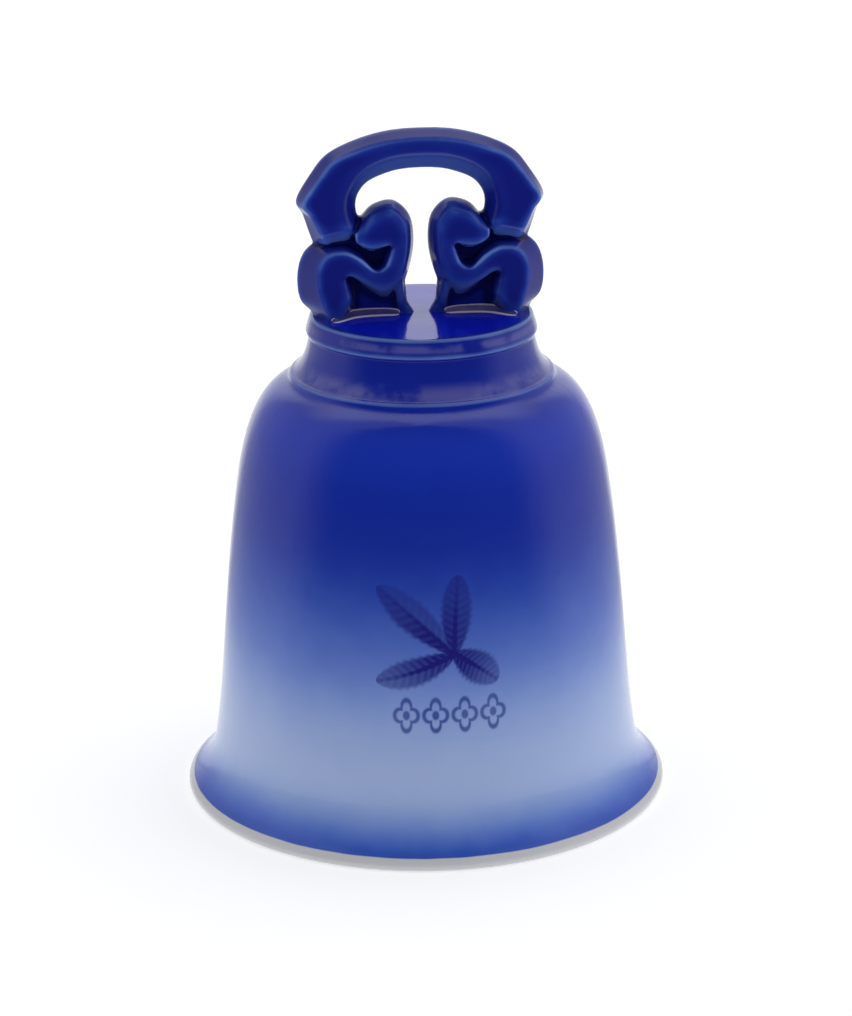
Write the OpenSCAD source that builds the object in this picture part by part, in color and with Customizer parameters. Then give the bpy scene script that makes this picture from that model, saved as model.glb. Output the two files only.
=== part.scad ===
// Porcelain hand bell with a scrolled handle and a free-hanging porcelain clapper.
// The bell stands on its foot at z = 0, the handle lies in the XZ plane and the front faces -Y.

/* [Bell] */
// Outer diameter of the foot
foot_d = 92; // [86:0.5:98]
// Height of the flat crown plate that carries the handle
crown_h = 93; // [91:0.5:97]
// Thickness of the slip-cast wall
wall = 3; // [2.4:0.1:3.6]
// Thickness of the crown plate
crown_t = 3.6; // [3:0.1:4.5]

/* [Handle] */
// Height of the top of the arch above the crown plate
arch_h = 34.6; // [32:0.2:36]
// Depth of the handle at its base, front to back
handle_depth_base = 11; // [9:0.5:12]
// Depth of the handle at the top of the arch, front to back
handle_depth_top = 6; // [5:0.5:8]
// Thickness of the thin web behind the scrolls
web_t = 2; // [1.5:0.1:3]

/* [Hanger] */
// Distance between the outer faces of the hanger staple's legs
staple_w = 16; // [14:0.5:18]
// Depth of the staple, front to back
staple_d = 6; // [5:0.5:8]
// Thickness of the staple's bar, which the bore for the swivel shank runs through
staple_bar_h = 3; // [2.5:0.1:4]
// Diameter of the hanging wire
wire_d = 2; // [1.6:0.1:2]
// Radial clearance of the swivel shank in its bore
swivel_clearance = 0.05; // [0.02:0.01:0.1]

/* [Clapper] */
// Diameter of the porcelain ball
ball_d = 16; // [12:0.5:18]
// Height of the ball's centre above the foot
ball_z = 20; // [16:0.5:28]
// Mean radius of the two wire eyes
eye_r = 2.6; // [2.6:0.1:3]

/* [Quality] */
// Steps in each curved stretch of an outline
curve_steps = 8; // [4:1:12]
// Facets of a full turn
round_steps = 96; // [48:8:160]

/* [Hidden] */

foot_r = foot_d / 2;
ceiling_z = crown_h - crown_t;
wire_r = wire_d / 2;
handle_slope = (handle_depth_base - handle_depth_top) / 2 / arch_h;

// Heights down the hanging train, from the ceiling to the clapper's pivot.
staple_drop = 8;
bar_bottom_z = ceiling_z - staple_drop;
bar_top_z = bar_bottom_z + staple_bar_h;
collar_h = 1.6;
collar_gap = 0.05;
shank_top_z = bar_top_z + collar_gap + collar_h + 0.6;
eye_gap = 1.2;
swivel_eye_z = bar_bottom_z - eye_gap - wire_r - eye_r;
pivot_z = swivel_eye_z - eye_r;
link_gap = 0.05;
clapper_eye_z = pivot_z + 2 * wire_r + link_gap - eye_r;
ball_r = ball_d / 2;
rod_top_z = clapper_eye_z - eye_r;
stop_h = 1.8;
rod_bottom_z = ball_z - ball_r - stop_h - 0.4;

porcelain_blue = "#1a2f8c";
porcelain_pale = "#f2f2ee";
brass = "#b58a3c";

$fn = round_steps;

// A point on the cubic curve through a and d with handles b and c.
function bezier_point(a, b, c, d, t) =
    pow(1 - t, 3) * a + 3 * pow(1 - t, 2) * t * b + 3 * (1 - t) * t * t * c + pow(t, 3) * d;

// The same curve as a list of points, its last point left to the next stretch.
function bezier(a, b, c, d, n = curve_steps) =
    [for (i = [0 : n - 1]) bezier_point(a, b, c, d, i / n)];

// A smooth curve through every point of a list, with the ends held straight.
function through(points, n = 4) =
    concat(
        [for (i = [0 : len(points) - 2], k = [0 : n - 1])
            let (
                before = points[max(i - 1, 0)],
                here = points[i],
                next = points[i + 1],
                after = points[min(i + 2, len(points) - 1)],
                t = k / n
            )
            bezier_point(here, here + (next - before) / 6, next - (after - here) / 6, next, t)],
        [points[len(points) - 1]]
    );

// ---- Bell ----

// Outer outline from the foot to the crown plate: bead, flared lip, skirt, shoulder, neck, rim.
function outer_outline() = concat(
    bezier([foot_r - 1.4, 0], [foot_r - 0.5, 0], [foot_r, 0.4], [foot_r, 1.1], 5),
    bezier([foot_r, 1.1], [foot_r, 1.6], [foot_r - 0.4, 2], [foot_r - 1, 2.4], 4),
    bezier([foot_r - 1, 2.4], [foot_r - 2.8, 3.7], [foot_r - 5, 6.4], [foot_r - 5.6, 10.6]),
    bezier([foot_r - 5.6, 10.6], [foot_r - 7.9, 25.9], [foot_r - 8, 43.4], [foot_r - 11.4, 64], 12),
    bezier([foot_r - 11.4, 64], [31.5, 81.1], [25.6, 79.4], [24.9, 81.2], 14),
    bezier([24.9, 81.2], [24.9, 81.9], [24.6, 82.1], [24, 82.3], 3),
    bezier([24, 82.3], [22.7, 84.2], [21.6, 86.6], [21, 89.2]),
    bezier([21, 89.2], [21.5, 89.4], [21.6, 89.8], [21.5, 90.3], 3),
    bezier([21.5, 90.3], [21.2, 91.4], [21, 92.1], [20.7, crown_h - 0.4], 4),
    [[20.5, crown_h - 0.1], [20.1, crown_h], [0, crown_h]]
);

// Inner outline from the ceiling back down to the foot.
function inner_outline() = concat(
    [[0, ceiling_z]],
    bezier([15, ceiling_z], [17, ceiling_z], [17.6, ceiling_z - 1.2], [18.2, ceiling_z - 3.4]),
    bezier([18.2, ceiling_z - 3.4], [20.5, 78.5], [27, 78.6], [foot_r - 11.4 - wall, 64], 12),
    bezier([foot_r - 11.4 - wall, 64], [foot_r - 8 - wall, 43.4], [foot_r - 7.9 - wall, 25.9],
           [foot_r - 5.6 - wall, 10.6], 12),
    bezier([foot_r - 5.6 - wall, 10.6], [foot_r - 5.4 - wall, 6.4], [foot_r - 4.4 - wall, 3.4],
           [foot_r - 1.6 - wall, 0.6]),
    [[foot_r - 1.4 - wall, 0.2], [foot_r - 1 - wall, 0]]
);

module bell_shell() {
    color(porcelain_blue)
        rotate_extrude()
            polygon(concat(outer_outline(), inner_outline()));
}

// ---- Handle ----

// Half the handle's depth at a height, thinning evenly from the base to the top.
function half_depth(z) = handle_depth_base / 2 - handle_slope * (z - crown_h);

// One cross-section of a band: mid-plane edges wide, front and back faces narrower.
// Each station is [outer x, outer z, inner x, inner z, outer draft, inner draft, depth share].
function band_section(s) =
    let (
        outer = [s[0], s[1]],
        inner = [s[2], s[3]],
        along = (outer - inner) / norm(outer - inner),
        outer_mid = outer + along * s[4],
        inner_mid = inner - along * s[5],
        outer_y = half_depth(outer[1]) * s[6],
        inner_y = half_depth(inner[1]) * s[6]
    )
    [
        [outer_mid[0], 0, outer_mid[1]],
        [outer[0], -outer_y, outer[1]],
        [inner[0], -inner_y, inner[1]],
        [inner_mid[0], 0, inner_mid[1]],
        [inner[0], inner_y, inner[1]],
        [outer[0], outer_y, outer[1]]
    ];

// A solid carried along a list of stations.
module band(stations) {
    sections = [for (s = stations) band_section(s)];
    last = len(sections) - 1;
    sides = 6;
    polyhedron(
        points = [for (section = sections, p = section) p],
        faces = concat(
            [[for (k = [0 : sides - 1]) k]],
            [for (i = [0 : last - 1], k = [0 : sides - 1])
                let (a = i * sides + k, b = i * sides + (k + 1) % sides)
                each [[a, a + sides, b + sides], [a, b + sides, b]]],
            [[for (k = [sides - 1 : -1 : 0]) last * sides + k]]
        )
    );
}

arch_top = crown_h + arch_h;
// Right half of the arch, from the crest down the leg to the foot of its slanted end.
arch_half = [
    [0, arch_top - 1.6, 0, arch_top - 5.2, 1.6, 2.2, 1],
    [5.7, arch_top - 2, 4.8, arch_top - 5.5, 1.7, 2.2, 1],
    [11.2, arch_top - 3.3, 8.9, arch_top - 6.9, 1.7, 2.2, 1],
    [16, arch_top - 5.3, 11.5, arch_top - 8.9, 1.5, 2.4, 1],
    [18.9, arch_top - 8.5, 12.9, arch_top - 11.2, 1.4, 2, 1],
    [21.8, arch_top - 12.8, 13.3, arch_top - 13.4, 1.1, 1.8, 1],
    [20.3, arch_top - 15.4, 13.3, arch_top - 15.4, 1.6, 1.9, 1],
    [18.9, arch_top - 18.4, 12.8, arch_top - 17.4, 2, 2, 0.97],
    [18, arch_top - 20.2, 12.6, arch_top - 19, 2.3, 1.8, 0.72],
    [17.5, arch_top - 21.4, 13, arch_top - 20.4, 2.4, 1.4, 0.3]
];
arch_mirror = [
    for (i = [len(arch_half) - 1 : -1 : 1])
        let (s = arch_half[i])
        [-s[0], s[1], -s[2], s[3], s[4], s[5], s[6]]
];

module handle_arch() {
    color(porcelain_blue)
        band(through(concat(arch_mirror, arch_half)));
}

// Right-hand scroll, from its foot on the crown plate round the lobe and curl to the tip.
scroll_stations = [
    [17.5, crown_h, 14.6, crown_h, 2.8, 1.4, 1],
    [18.6, crown_h + 3.4, 13.6, crown_h + 3.6, 4.2, 1.1, 1],
    [19.4, crown_h + 7, 13.9, crown_h + 6, 3.9, 1, 1],
    [19, crown_h + 10.4, 14.2, crown_h + 7.6, 3.4, 1.2, 1],
    [17.2, crown_h + 12.3, 13.6, crown_h + 8.2, 2.6, 1.6, 1],
    [14.2, crown_h + 12.6, 12.6, crown_h + 8, 1.6, 1.9, 1],
    [11.5, crown_h + 11.3, 10.7, crown_h + 7, 1.2, 2.6, 1],
    [9, crown_h + 9.2, 8, crown_h + 6, 1, 3.8, 1],
    [7.2, crown_h + 9.6, 5.6, crown_h + 6.6, 1.2, 3.2, 1],
    [6.2, crown_h + 11.4, 3.7, crown_h + 8.8, 1.3, 2, 1],
    [5.7, crown_h + 13.2, 2.8, crown_h + 13, 1.3, 1.7, 1],
    [6, crown_h + 13.8, 3, crown_h + 17.2, 1.8, 1.8, 1],
    [7.4, crown_h + 13.6, 5.5, crown_h + 18.6, 2.4, 1.4, 1],
    [9.2, crown_h + 13.4, 8.8, crown_h + 18.2, 2.4, 1.3, 1],
    [10.9, crown_h + 13.7, 10.9, crown_h + 17.4, 1.8, 1.3, 0.97],
    [12.3, crown_h + 14.4, 12.5, crown_h + 16, 0.8, 0.6, 0.85]
];

module scroll() {
    band(through(scroll_stations));
}

module scroll_right() {
    color(porcelain_blue)
        scroll();
}

module scroll_left() {
    color(porcelain_blue)
        mirror([1, 0, 0])
            scroll();
}

// Thin web that fills the scroll's outline at the mid-plane.
web_outline = concat(
    bezier([1.4, crown_h], [2.6, crown_h + 0.4], [2.8, crown_h + 2], [2.8, crown_h + 4.5], 5),
    [
        [3.2, crown_h + 9], [4.6, crown_h + 16], [9, crown_h + 17.4], [12.2, crown_h + 19],
        [19, crown_h + 15.6], [19.6, crown_h + 12], [21, crown_h + 8], [18.4, crown_h + 2],
        [17, crown_h]
    ]
);

module web() {
    translate([0, web_t / 2, 0])
        rotate([90, 0, 0])
            linear_extrude(web_t)
                polygon(web_outline);
}

module web_right() {
    color(porcelain_blue)
        web();
}

module web_left() {
    color(porcelain_blue)
        mirror([1, 0, 0])
            web();
}

// Bead of slip that lutes the handle to the plate, in front of the web and behind it.
seam_r = 1.1;
seam_from = 3;
seam_to = 13.2;

module slip_seam() {
    for (side = [-1, 1])
        difference() {
            translate([seam_from, side * web_t / 2, crown_h])
                rotate([0, 90, 0])
                    cylinder(h = seam_to - seam_from, r = seam_r);
            translate([0, -seam_r - web_t, crown_h - 2 * seam_r])
                cube([2 * seam_to, 2 * (seam_r + web_t), 2 * seam_r]);
            translate([0, -web_t / 2, crown_h - seam_r])
                cube([2 * seam_to, web_t, 3 * seam_r]);
            scroll();
        }
}

module slip_seam_right() {
    color(porcelain_blue)
        slip_seam();
}

module slip_seam_left() {
    color(porcelain_blue)
        mirror([1, 0, 0])
            slip_seam();
}

// ---- Hanger ----

leg_w = 4;

// Porcelain staple under the crown, with the swivel's bore down through its bar.
module hanger_staple() {
    color(porcelain_pale)
        difference() {
            translate([-staple_w / 2, -staple_d / 2, bar_bottom_z])
                cube([staple_w, staple_d, staple_drop]);
            translate([-staple_w / 2 + leg_w, -staple_d, bar_top_z])
                cube([staple_w - 2 * leg_w, 2 * staple_d, staple_drop]);
            translate([0, 0, bar_bottom_z - 1])
                cylinder(h = staple_bar_h + 2, r = wire_r + swivel_clearance);
        }
}

// Slip that lutes each leg of the staple to the ceiling.
slip_margin = 1;

module staple_slip() {
    color(porcelain_pale)
        for (side = [-1, 1])
            difference() {
                translate([side * (staple_w - leg_w) / 2, 0, ceiling_z - slip_margin])
                    linear_extrude(slip_margin)
                        square([leg_w + 2 * slip_margin, staple_d + 2 * slip_margin], center = true);
                translate([side * (staple_w - leg_w) / 2, 0, ceiling_z - 2 * slip_margin])
                    linear_extrude(3 * slip_margin)
                        square([leg_w, staple_d], center = true);
            }
}

// A ring of wire in the XZ plane.
module wire_ring() {
    rotate([90, 0, 0])
        rotate_extrude()
            translate([eye_r, 0])
                circle(r = wire_r, $fn = 32);
}

// Wire eye whose shank turns in the staple's bore.
module swivel_eye() {
    color(brass)
        union() {
            translate([0, 0, swivel_eye_z])
                wire_ring();
            translate([0, 0, swivel_eye_z + eye_r])
                cylinder(h = shank_top_z - swivel_eye_z - eye_r, r = wire_r);
        }
}

// Crimped collar that keeps the shank from dropping out of the staple.
collar_r = 2.1;

module swivel_collar() {
    color(brass)
        translate([0, 0, bar_top_z + collar_gap])
            difference() {
                cylinder(h = collar_h, r = collar_r);
                translate([0, 0, -1])
                    cylinder(h = collar_h + 2, r = wire_r);
            }
}

// ---- Clapper ----

// Wire eye and rod, hanging in the swivel's eye.
module clapper_wire() {
    color(brass)
        union() {
            translate([0, 0, clapper_eye_z])
                rotate([0, 0, 90])
                    wire_ring();
            translate([0, 0, rod_bottom_z])
                cylinder(h = rod_top_z - rod_bottom_z, r = wire_r);
        }
}

// Crimped collar on top of the ball.
module clapper_collar() {
    color(brass)
        translate([0, 0, ball_z + ball_r - 0.3])
            difference() {
                cylinder(h = stop_h, r = collar_r);
                translate([0, 0, -1])
                    cylinder(h = stop_h + 2, r = wire_r);
                translate([0, 0, 0.3 - ball_r])
                    sphere(r = ball_r);
            }
}

// Glazed porcelain ball, bored for the rod.
module clapper_ball() {
    color(porcelain_pale)
        translate([0, 0, ball_z])
            difference() {
                sphere(r = ball_r);
                translate([0, 0, -ball_d])
                    cylinder(h = 2 * ball_d, r = wire_r);
            }
}

// Crimped stop under the ball.
module clapper_stop() {
    color(brass)
        translate([0, 0, ball_z - ball_r + 0.3 - stop_h])
            difference() {
                cylinder(h = stop_h, r = collar_r);
                translate([0, 0, -1])
                    cylinder(h = stop_h + 2, r = wire_r);
                translate([0, 0, stop_h - 0.3 + ball_r])
                    sphere(r = ball_r);
            }
}

bell_shell();
handle_arch();
scroll_left();
scroll_right();
web_left();
web_right();
slip_seam_left();
slip_seam_right();
hanger_staple();
staple_slip();
swivel_eye();
swivel_collar();
clapper_wire();
clapper_collar();
clapper_ball();
clapper_stop();
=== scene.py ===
"""Porcelain hand bell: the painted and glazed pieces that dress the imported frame.

Lengths inside the shape functions are in millimetres and become metres when a piece is made.
"""

import logging
import math
from dataclasses import dataclass, field
from enum import Enum

import bpy
import numpy as np
from mathutils import Matrix, Vector


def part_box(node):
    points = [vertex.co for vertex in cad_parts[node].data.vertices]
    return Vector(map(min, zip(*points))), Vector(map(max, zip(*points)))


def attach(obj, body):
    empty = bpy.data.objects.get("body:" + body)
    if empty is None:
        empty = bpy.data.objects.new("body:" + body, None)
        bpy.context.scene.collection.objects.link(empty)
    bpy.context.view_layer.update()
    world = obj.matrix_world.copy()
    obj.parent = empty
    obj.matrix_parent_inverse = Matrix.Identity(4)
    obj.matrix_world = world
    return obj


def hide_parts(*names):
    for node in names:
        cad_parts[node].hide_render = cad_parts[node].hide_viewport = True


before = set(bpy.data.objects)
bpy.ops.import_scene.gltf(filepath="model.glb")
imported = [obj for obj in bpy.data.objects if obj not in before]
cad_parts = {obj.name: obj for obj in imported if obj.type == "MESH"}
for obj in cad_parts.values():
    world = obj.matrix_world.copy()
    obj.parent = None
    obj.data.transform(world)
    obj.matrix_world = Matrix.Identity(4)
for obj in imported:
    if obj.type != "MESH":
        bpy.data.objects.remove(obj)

log = logging.getLogger("porcelain_bell")

MM = 0.001
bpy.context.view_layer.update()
SKIRT_RADIUS = 37.0  # millimetres, where distances across the painting are measured
LEAF_VEINS = 11.0  # veins, and teeth, along a painted leaf
BEVEL_STEPS = 5  # points round a band's rounded corner


def node_size(node: str) -> tuple[float, ...]:
    """A CAD node's size along x, y and z, in millimetres."""
    low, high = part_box(node)
    return tuple((b - a) / MM for a, b in zip(low, high))


class Side(Enum):
    """Which half of the handle a piece belongs to, as the sign of its x."""

    LEFT = -1
    RIGHT = 1


# ---------------------------------------------------------------------------------------------
# Curves and surfaces
# ---------------------------------------------------------------------------------------------


def bezier(a: tuple, b: tuple, c: tuple, d: tuple, steps: int) -> np.ndarray:
    """A cubic curve from a to d with handles b and c, its last point left to the next stretch.

    The formula is (1-t)^3 a + 3 (1-t)^2 t b + 3 (1-t) t^2 c + t^3 d for t from 0 up to 1.

    Args:
        a: First point.
        b: Handle of the first point.
        c: Handle of the last point.
        d: Last point.
        steps: Number of points returned.

    Returns:
        An array of steps rows.
    """
    t = np.linspace(0.0, 1.0, steps, endpoint=False)[:, None]
    a, b, c, d = (np.array(p, float) for p in (a, b, c, d))
    return (1 - t) ** 3 * a + 3 * (1 - t) ** 2 * t * b + 3 * (1 - t) * t**2 * c + t**3 * d


def through(points: np.ndarray, steps: int) -> np.ndarray:
    """A smooth curve through every point, with its ends held straight.

    Each span is a cubic whose handles lie a sixth of the way along its neighbours' chord.

    Args:
        points: Control rows of any width.
        steps: Points in each span.

    Returns:
        The curve's rows, the last control row included.
    """
    points = np.asarray(points, float)
    padded = np.vstack([points[:1], points, points[-1:]])
    before, here, following, after = padded[:-3], padded[1:-2], padded[2:-1], padded[3:]
    t = np.linspace(0.0, 1.0, steps, endpoint=False)[None, :, None]
    b = (here + (following - before) / 6)[:, None, :]
    c = (following - (after - here) / 6)[:, None, :]
    a, d = here[:, None, :], following[:, None, :]
    spans = (1 - t) ** 3 * a + 3 * (1 - t) ** 2 * t * b + 3 * (1 - t) * t**2 * c + t**3 * d
    return np.vstack([spans.reshape(-1, points.shape[1]), points[-1:]])


def grid_faces(rows: int, columns: int, close_columns: bool = True) -> np.ndarray:
    """Quads over a grid of points numbered row by row.

    Args:
        rows: Number of rows.
        columns: Number of points in a row.
        close_columns: Whether the last column joins the first.

    Returns:
        An array of four point numbers a face.
    """
    last = columns if close_columns else columns - 1
    i, k = np.meshgrid(np.arange(rows - 1), np.arange(last), indexing="ij")
    n = (k + 1) % columns
    quads = np.stack([i * columns + k, i * columns + n, (i + 1) * columns + n, (i + 1) * columns + k], -1)
    return quads.reshape(-1, 4)


def revolve(outline: np.ndarray, steps: int) -> tuple[np.ndarray, list[np.ndarray], np.ndarray]:
    """Turns an outline about the Z axis, closing it with a pole at each end.

    A point at angle v on the outline's row u lies at (r(u) sin v, -r(u) cos v, z(u)).

    Args:
        outline: Rows of radius and height, from one pole to the other, both poles included.
        steps: Points round a full turn.

    Returns:
        The points, the faces as arrays of quads and triangles, and each point's outline row.
    """
    body = outline[1:-1]
    angle = np.linspace(0.0, 2 * np.pi, steps, endpoint=False)
    r, z = body[:, 0][:, None], body[:, 1][:, None]
    ring = np.stack([r * np.sin(angle), -r * np.cos(angle), z + 0 * angle], -1).reshape(-1, 3)
    poles = np.array([[0, 0, outline[0, 1]], [0, 0, outline[-1, 1]]])
    points = np.vstack([ring, poles])
    count = len(ring)
    k = np.arange(steps)
    n = (k + 1) % steps
    first = np.stack([np.full(steps, count), n, k], -1)
    base = (len(body) - 1) * steps
    last = np.stack([np.full(steps, count + 1), base + k, base + n], -1)
    quads = grid_faces(len(body), steps)
    row_of = np.concatenate([np.repeat(np.arange(1, len(outline) - 1), steps), [0, len(outline) - 1]])
    return points, [quads[:, ::-1], first[:, ::-1], last[:, ::-1]], row_of


def tube(sections: np.ndarray) -> tuple[np.ndarray, list[np.ndarray]]:
    """A closed solid through cross-sections, with a fan over each end.

    Args:
        sections: Array of stations, points round the section, and x, y, z.

    Returns:
        The points, and the faces as arrays of quads and triangles.
    """
    stations, around = sections.shape[:2]
    ends = np.stack([sections[0].mean(0), sections[-1].mean(0)])
    points = np.vstack([sections.reshape(-1, 3), ends])
    quads = grid_faces(stations, around)
    count = stations * around
    k = np.arange(around)
    n = (k + 1) % around
    first = np.stack([np.full(around, count), n, k], -1)
    last = np.stack([np.full(around, count + 1), count - around + k, count - around + n], -1)
    return points, [quads, first, last]


def ring_solid(section: np.ndarray, steps: int) -> tuple[np.ndarray, list[np.ndarray]]:
    """Turns a closed section that keeps off the Z axis into a ring.

    A point at angle v on the section's row u lies at (r(u) sin v, -r(u) cos v, z(u)).

    Args:
        section: Rows of radius and height, clockwise as seen with the axis on the left.
        steps: Points round a full turn.

    Returns:
        The points, and the faces as arrays of quads.
    """
    angle = np.linspace(0.0, 2 * np.pi, steps, endpoint=False)
    r, z = section[:, 0][:, None], section[:, 1][:, None]
    points = np.stack([r * np.sin(angle), -r * np.cos(angle), z + 0 * angle], -1).reshape(-1, 3)
    faces = grid_faces(len(section) + 1, steps) % (len(section) * steps)
    return points, [faces[:, ::-1]]


def round_corners(corners: np.ndarray, radii: np.ndarray, steps: int) -> np.ndarray:
    """Rounds a closed polygon at every station by a quadratic curve across each corner.

    The curve is (1-t)^2 a + 2 t (1-t) corner + t^2 b, with a and b a radius along the two edges.

    Args:
        corners: Array of stations, corners, and x, y, z.
        radii: Rounding length at each corner.
        steps: Points on each corner.

    Returns:
        Array of stations, corners times steps, and x, y, z.
    """
    back = np.roll(corners, 1, axis=1) - corners
    ahead = np.roll(corners, -1, axis=1) - corners
    back_length = np.linalg.norm(back, axis=-1, keepdims=True) + 1e-9
    ahead_length = np.linalg.norm(ahead, axis=-1, keepdims=True) + 1e-9
    reach = radii[None, :, None]
    a = corners + back / back_length * np.minimum(reach, 0.48 * back_length)
    b = corners + ahead / ahead_length * np.minimum(reach, 0.48 * ahead_length)
    t = np.linspace(0.0, 1.0, steps)[None, None, :, None]
    curve = (1 - t) ** 2 * a[:, :, None] + 2 * t * (1 - t) * corners[:, :, None] + t**2 * b[:, :, None]
    return curve.reshape(len(corners), -1, 3)


def wire_along(path: np.ndarray, radius: np.ndarray, around: int) -> tuple[np.ndarray, list[np.ndarray]]:
    """A round wire along a path: circles in the plane across the path's direction at each point.

    Args:
        path: Rows of x, y, z.
        radius: Radius at each row.
        around: Points round the wire.

    Returns:
        The points and faces of a closed solid.
    """
    along = np.gradient(path, axis=0)
    along /= np.linalg.norm(along, axis=1, keepdims=True)
    guide = np.tile(np.array([0.31, 0.92, 0.24]), (len(path), 1))
    across = np.cross(along, guide)
    across /= np.linalg.norm(across, axis=1, keepdims=True)
    up = np.cross(along, across)
    angle = np.linspace(0.0, 2 * np.pi, around, endpoint=False)
    wheel = np.cos(angle)[None, :, None] * across[:, None] + np.sin(angle)[None, :, None] * up[:, None]
    return tube(path[:, None] + radius[:, None, None] * wheel)


# ---------------------------------------------------------------------------------------------
# Meshes
# ---------------------------------------------------------------------------------------------


def new_mesh(name: str, points: np.ndarray, faces: list[np.ndarray]) -> bpy.types.Mesh:
    """Puts points and faces into a mesh, smooth shaded.

    Args:
        name: The mesh's name.
        points: Rows of x, y, z.
        faces: Arrays of point numbers, one row a face.

    Returns:
        The mesh.
    """
    mesh = bpy.data.meshes.new(name)
    mesh.from_pydata(points.tolist(), [], [tuple(f) for block in faces for f in block.tolist()])
    mesh.polygons.foreach_set("use_smooth", np.ones(len(mesh.polygons), bool))
    mesh.update()
    return mesh


def mesh_points(mesh: bpy.types.Mesh) -> np.ndarray:
    """The mesh's points.

    Args:
        mesh: The mesh.

    Returns:
        Rows of x, y, z.
    """
    flat = np.zeros(len(mesh.vertices) * 3)
    mesh.vertices.foreach_get("co", flat)
    return flat.reshape(-1, 3)


def mesh_normals(mesh: bpy.types.Mesh) -> np.ndarray:
    """The mesh's point normals.

    Args:
        mesh: The mesh.

    Returns:
        Rows of x, y, z.
    """
    flat = np.zeros(len(mesh.vertices) * 3)
    mesh.vertices.foreach_get("normal", flat)
    return flat.reshape(-1, 3)


def mesh_edges(mesh: bpy.types.Mesh) -> np.ndarray:
    """The mesh's edges.

    Args:
        mesh: The mesh.

    Returns:
        Rows of two point numbers.
    """
    flat = np.zeros(len(mesh.edges) * 2, np.int64)
    mesh.edges.foreach_get("vertices", flat)
    return flat.reshape(-1, 2)


def neighbour_mean(values: np.ndarray, edges: np.ndarray) -> np.ndarray:
    """The mean of each point's neighbours.

    Args:
        values: One row a point.
        edges: Rows of two point numbers.

    Returns:
        The means, shaped as values.
    """
    count = len(values)
    both = np.concatenate([edges, edges[:, ::-1]])
    degree = np.maximum(np.bincount(both[:, 0], minlength=count), 1)
    columns = values.reshape(count, -1)
    sums = [np.bincount(both[:, 0], weights=c[both[:, 1]], minlength=count) for c in columns.T]
    return (np.stack(sums, -1) / degree[:, None]).reshape(values.shape)


def relax(points: np.ndarray, edges: np.ndarray, rounds: int) -> np.ndarray:
    """Smooths points without shrinking them: a step towards the neighbours, then a step back.

    Args:
        points: Rows of x, y, z.
        edges: Rows of two point numbers.
        rounds: How often both steps are taken.

    Returns:
        The smoothed points.
    """
    for _ in range(rounds):
        points = points + 0.55 * (neighbour_mean(points, edges) - points)
        points = points - 0.52 * (neighbour_mean(points, edges) - points)
    return points


def convexity(points: np.ndarray, normals: np.ndarray, edges: np.ndarray, rounds: int) -> np.ndarray:
    """How far each point stands proud of its neighbours, positive on ridges and negative in creases.

    Args:
        points: Rows of x, y, z.
        normals: Rows of unit normals.
        edges: Rows of two point numbers.
        rounds: Smoothing passes.

    Returns:
        The height over the neighbours' mean, averaged over the surface nearby.
    """
    proud = ((points - neighbour_mean(points, edges)) * normals).sum(1)
    for _ in range(rounds):
        proud = 0.4 * proud + 0.6 * neighbour_mean(proud, edges)
    return proud


def set_values(mesh: bpy.types.Mesh, name: str, values: np.ndarray) -> None:
    """Stores one number a point under a name that a material can read."""
    layer = mesh.attributes.new(name, "FLOAT", "POINT")
    layer.data.foreach_set("value", values.astype(np.float32))


def new_piece(mesh: bpy.types.Mesh, body: str, stands_for: list[str]) -> bpy.types.Object:
    """Makes a mesh in millimetres a piece of the bell in metres.

    Args:
        mesh: The mesh, whose name becomes the piece's.
        body: The CAD body that it rides on.
        stands_for: The CAD nodes that it replaces.

    Returns:
        The piece.
    """
    mesh.transform(Matrix.Scale(MM, 4))
    piece = bpy.data.objects.new(mesh.name, mesh)
    bpy.context.scene.collection.objects.link(piece)
    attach(piece, body)
    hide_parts(*stands_for)
    log.info("%s: %d faces on %s", piece.name, len(mesh.polygons), body)
    return piece


# ---------------------------------------------------------------------------------------------
# Shader building
# ---------------------------------------------------------------------------------------------


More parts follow.
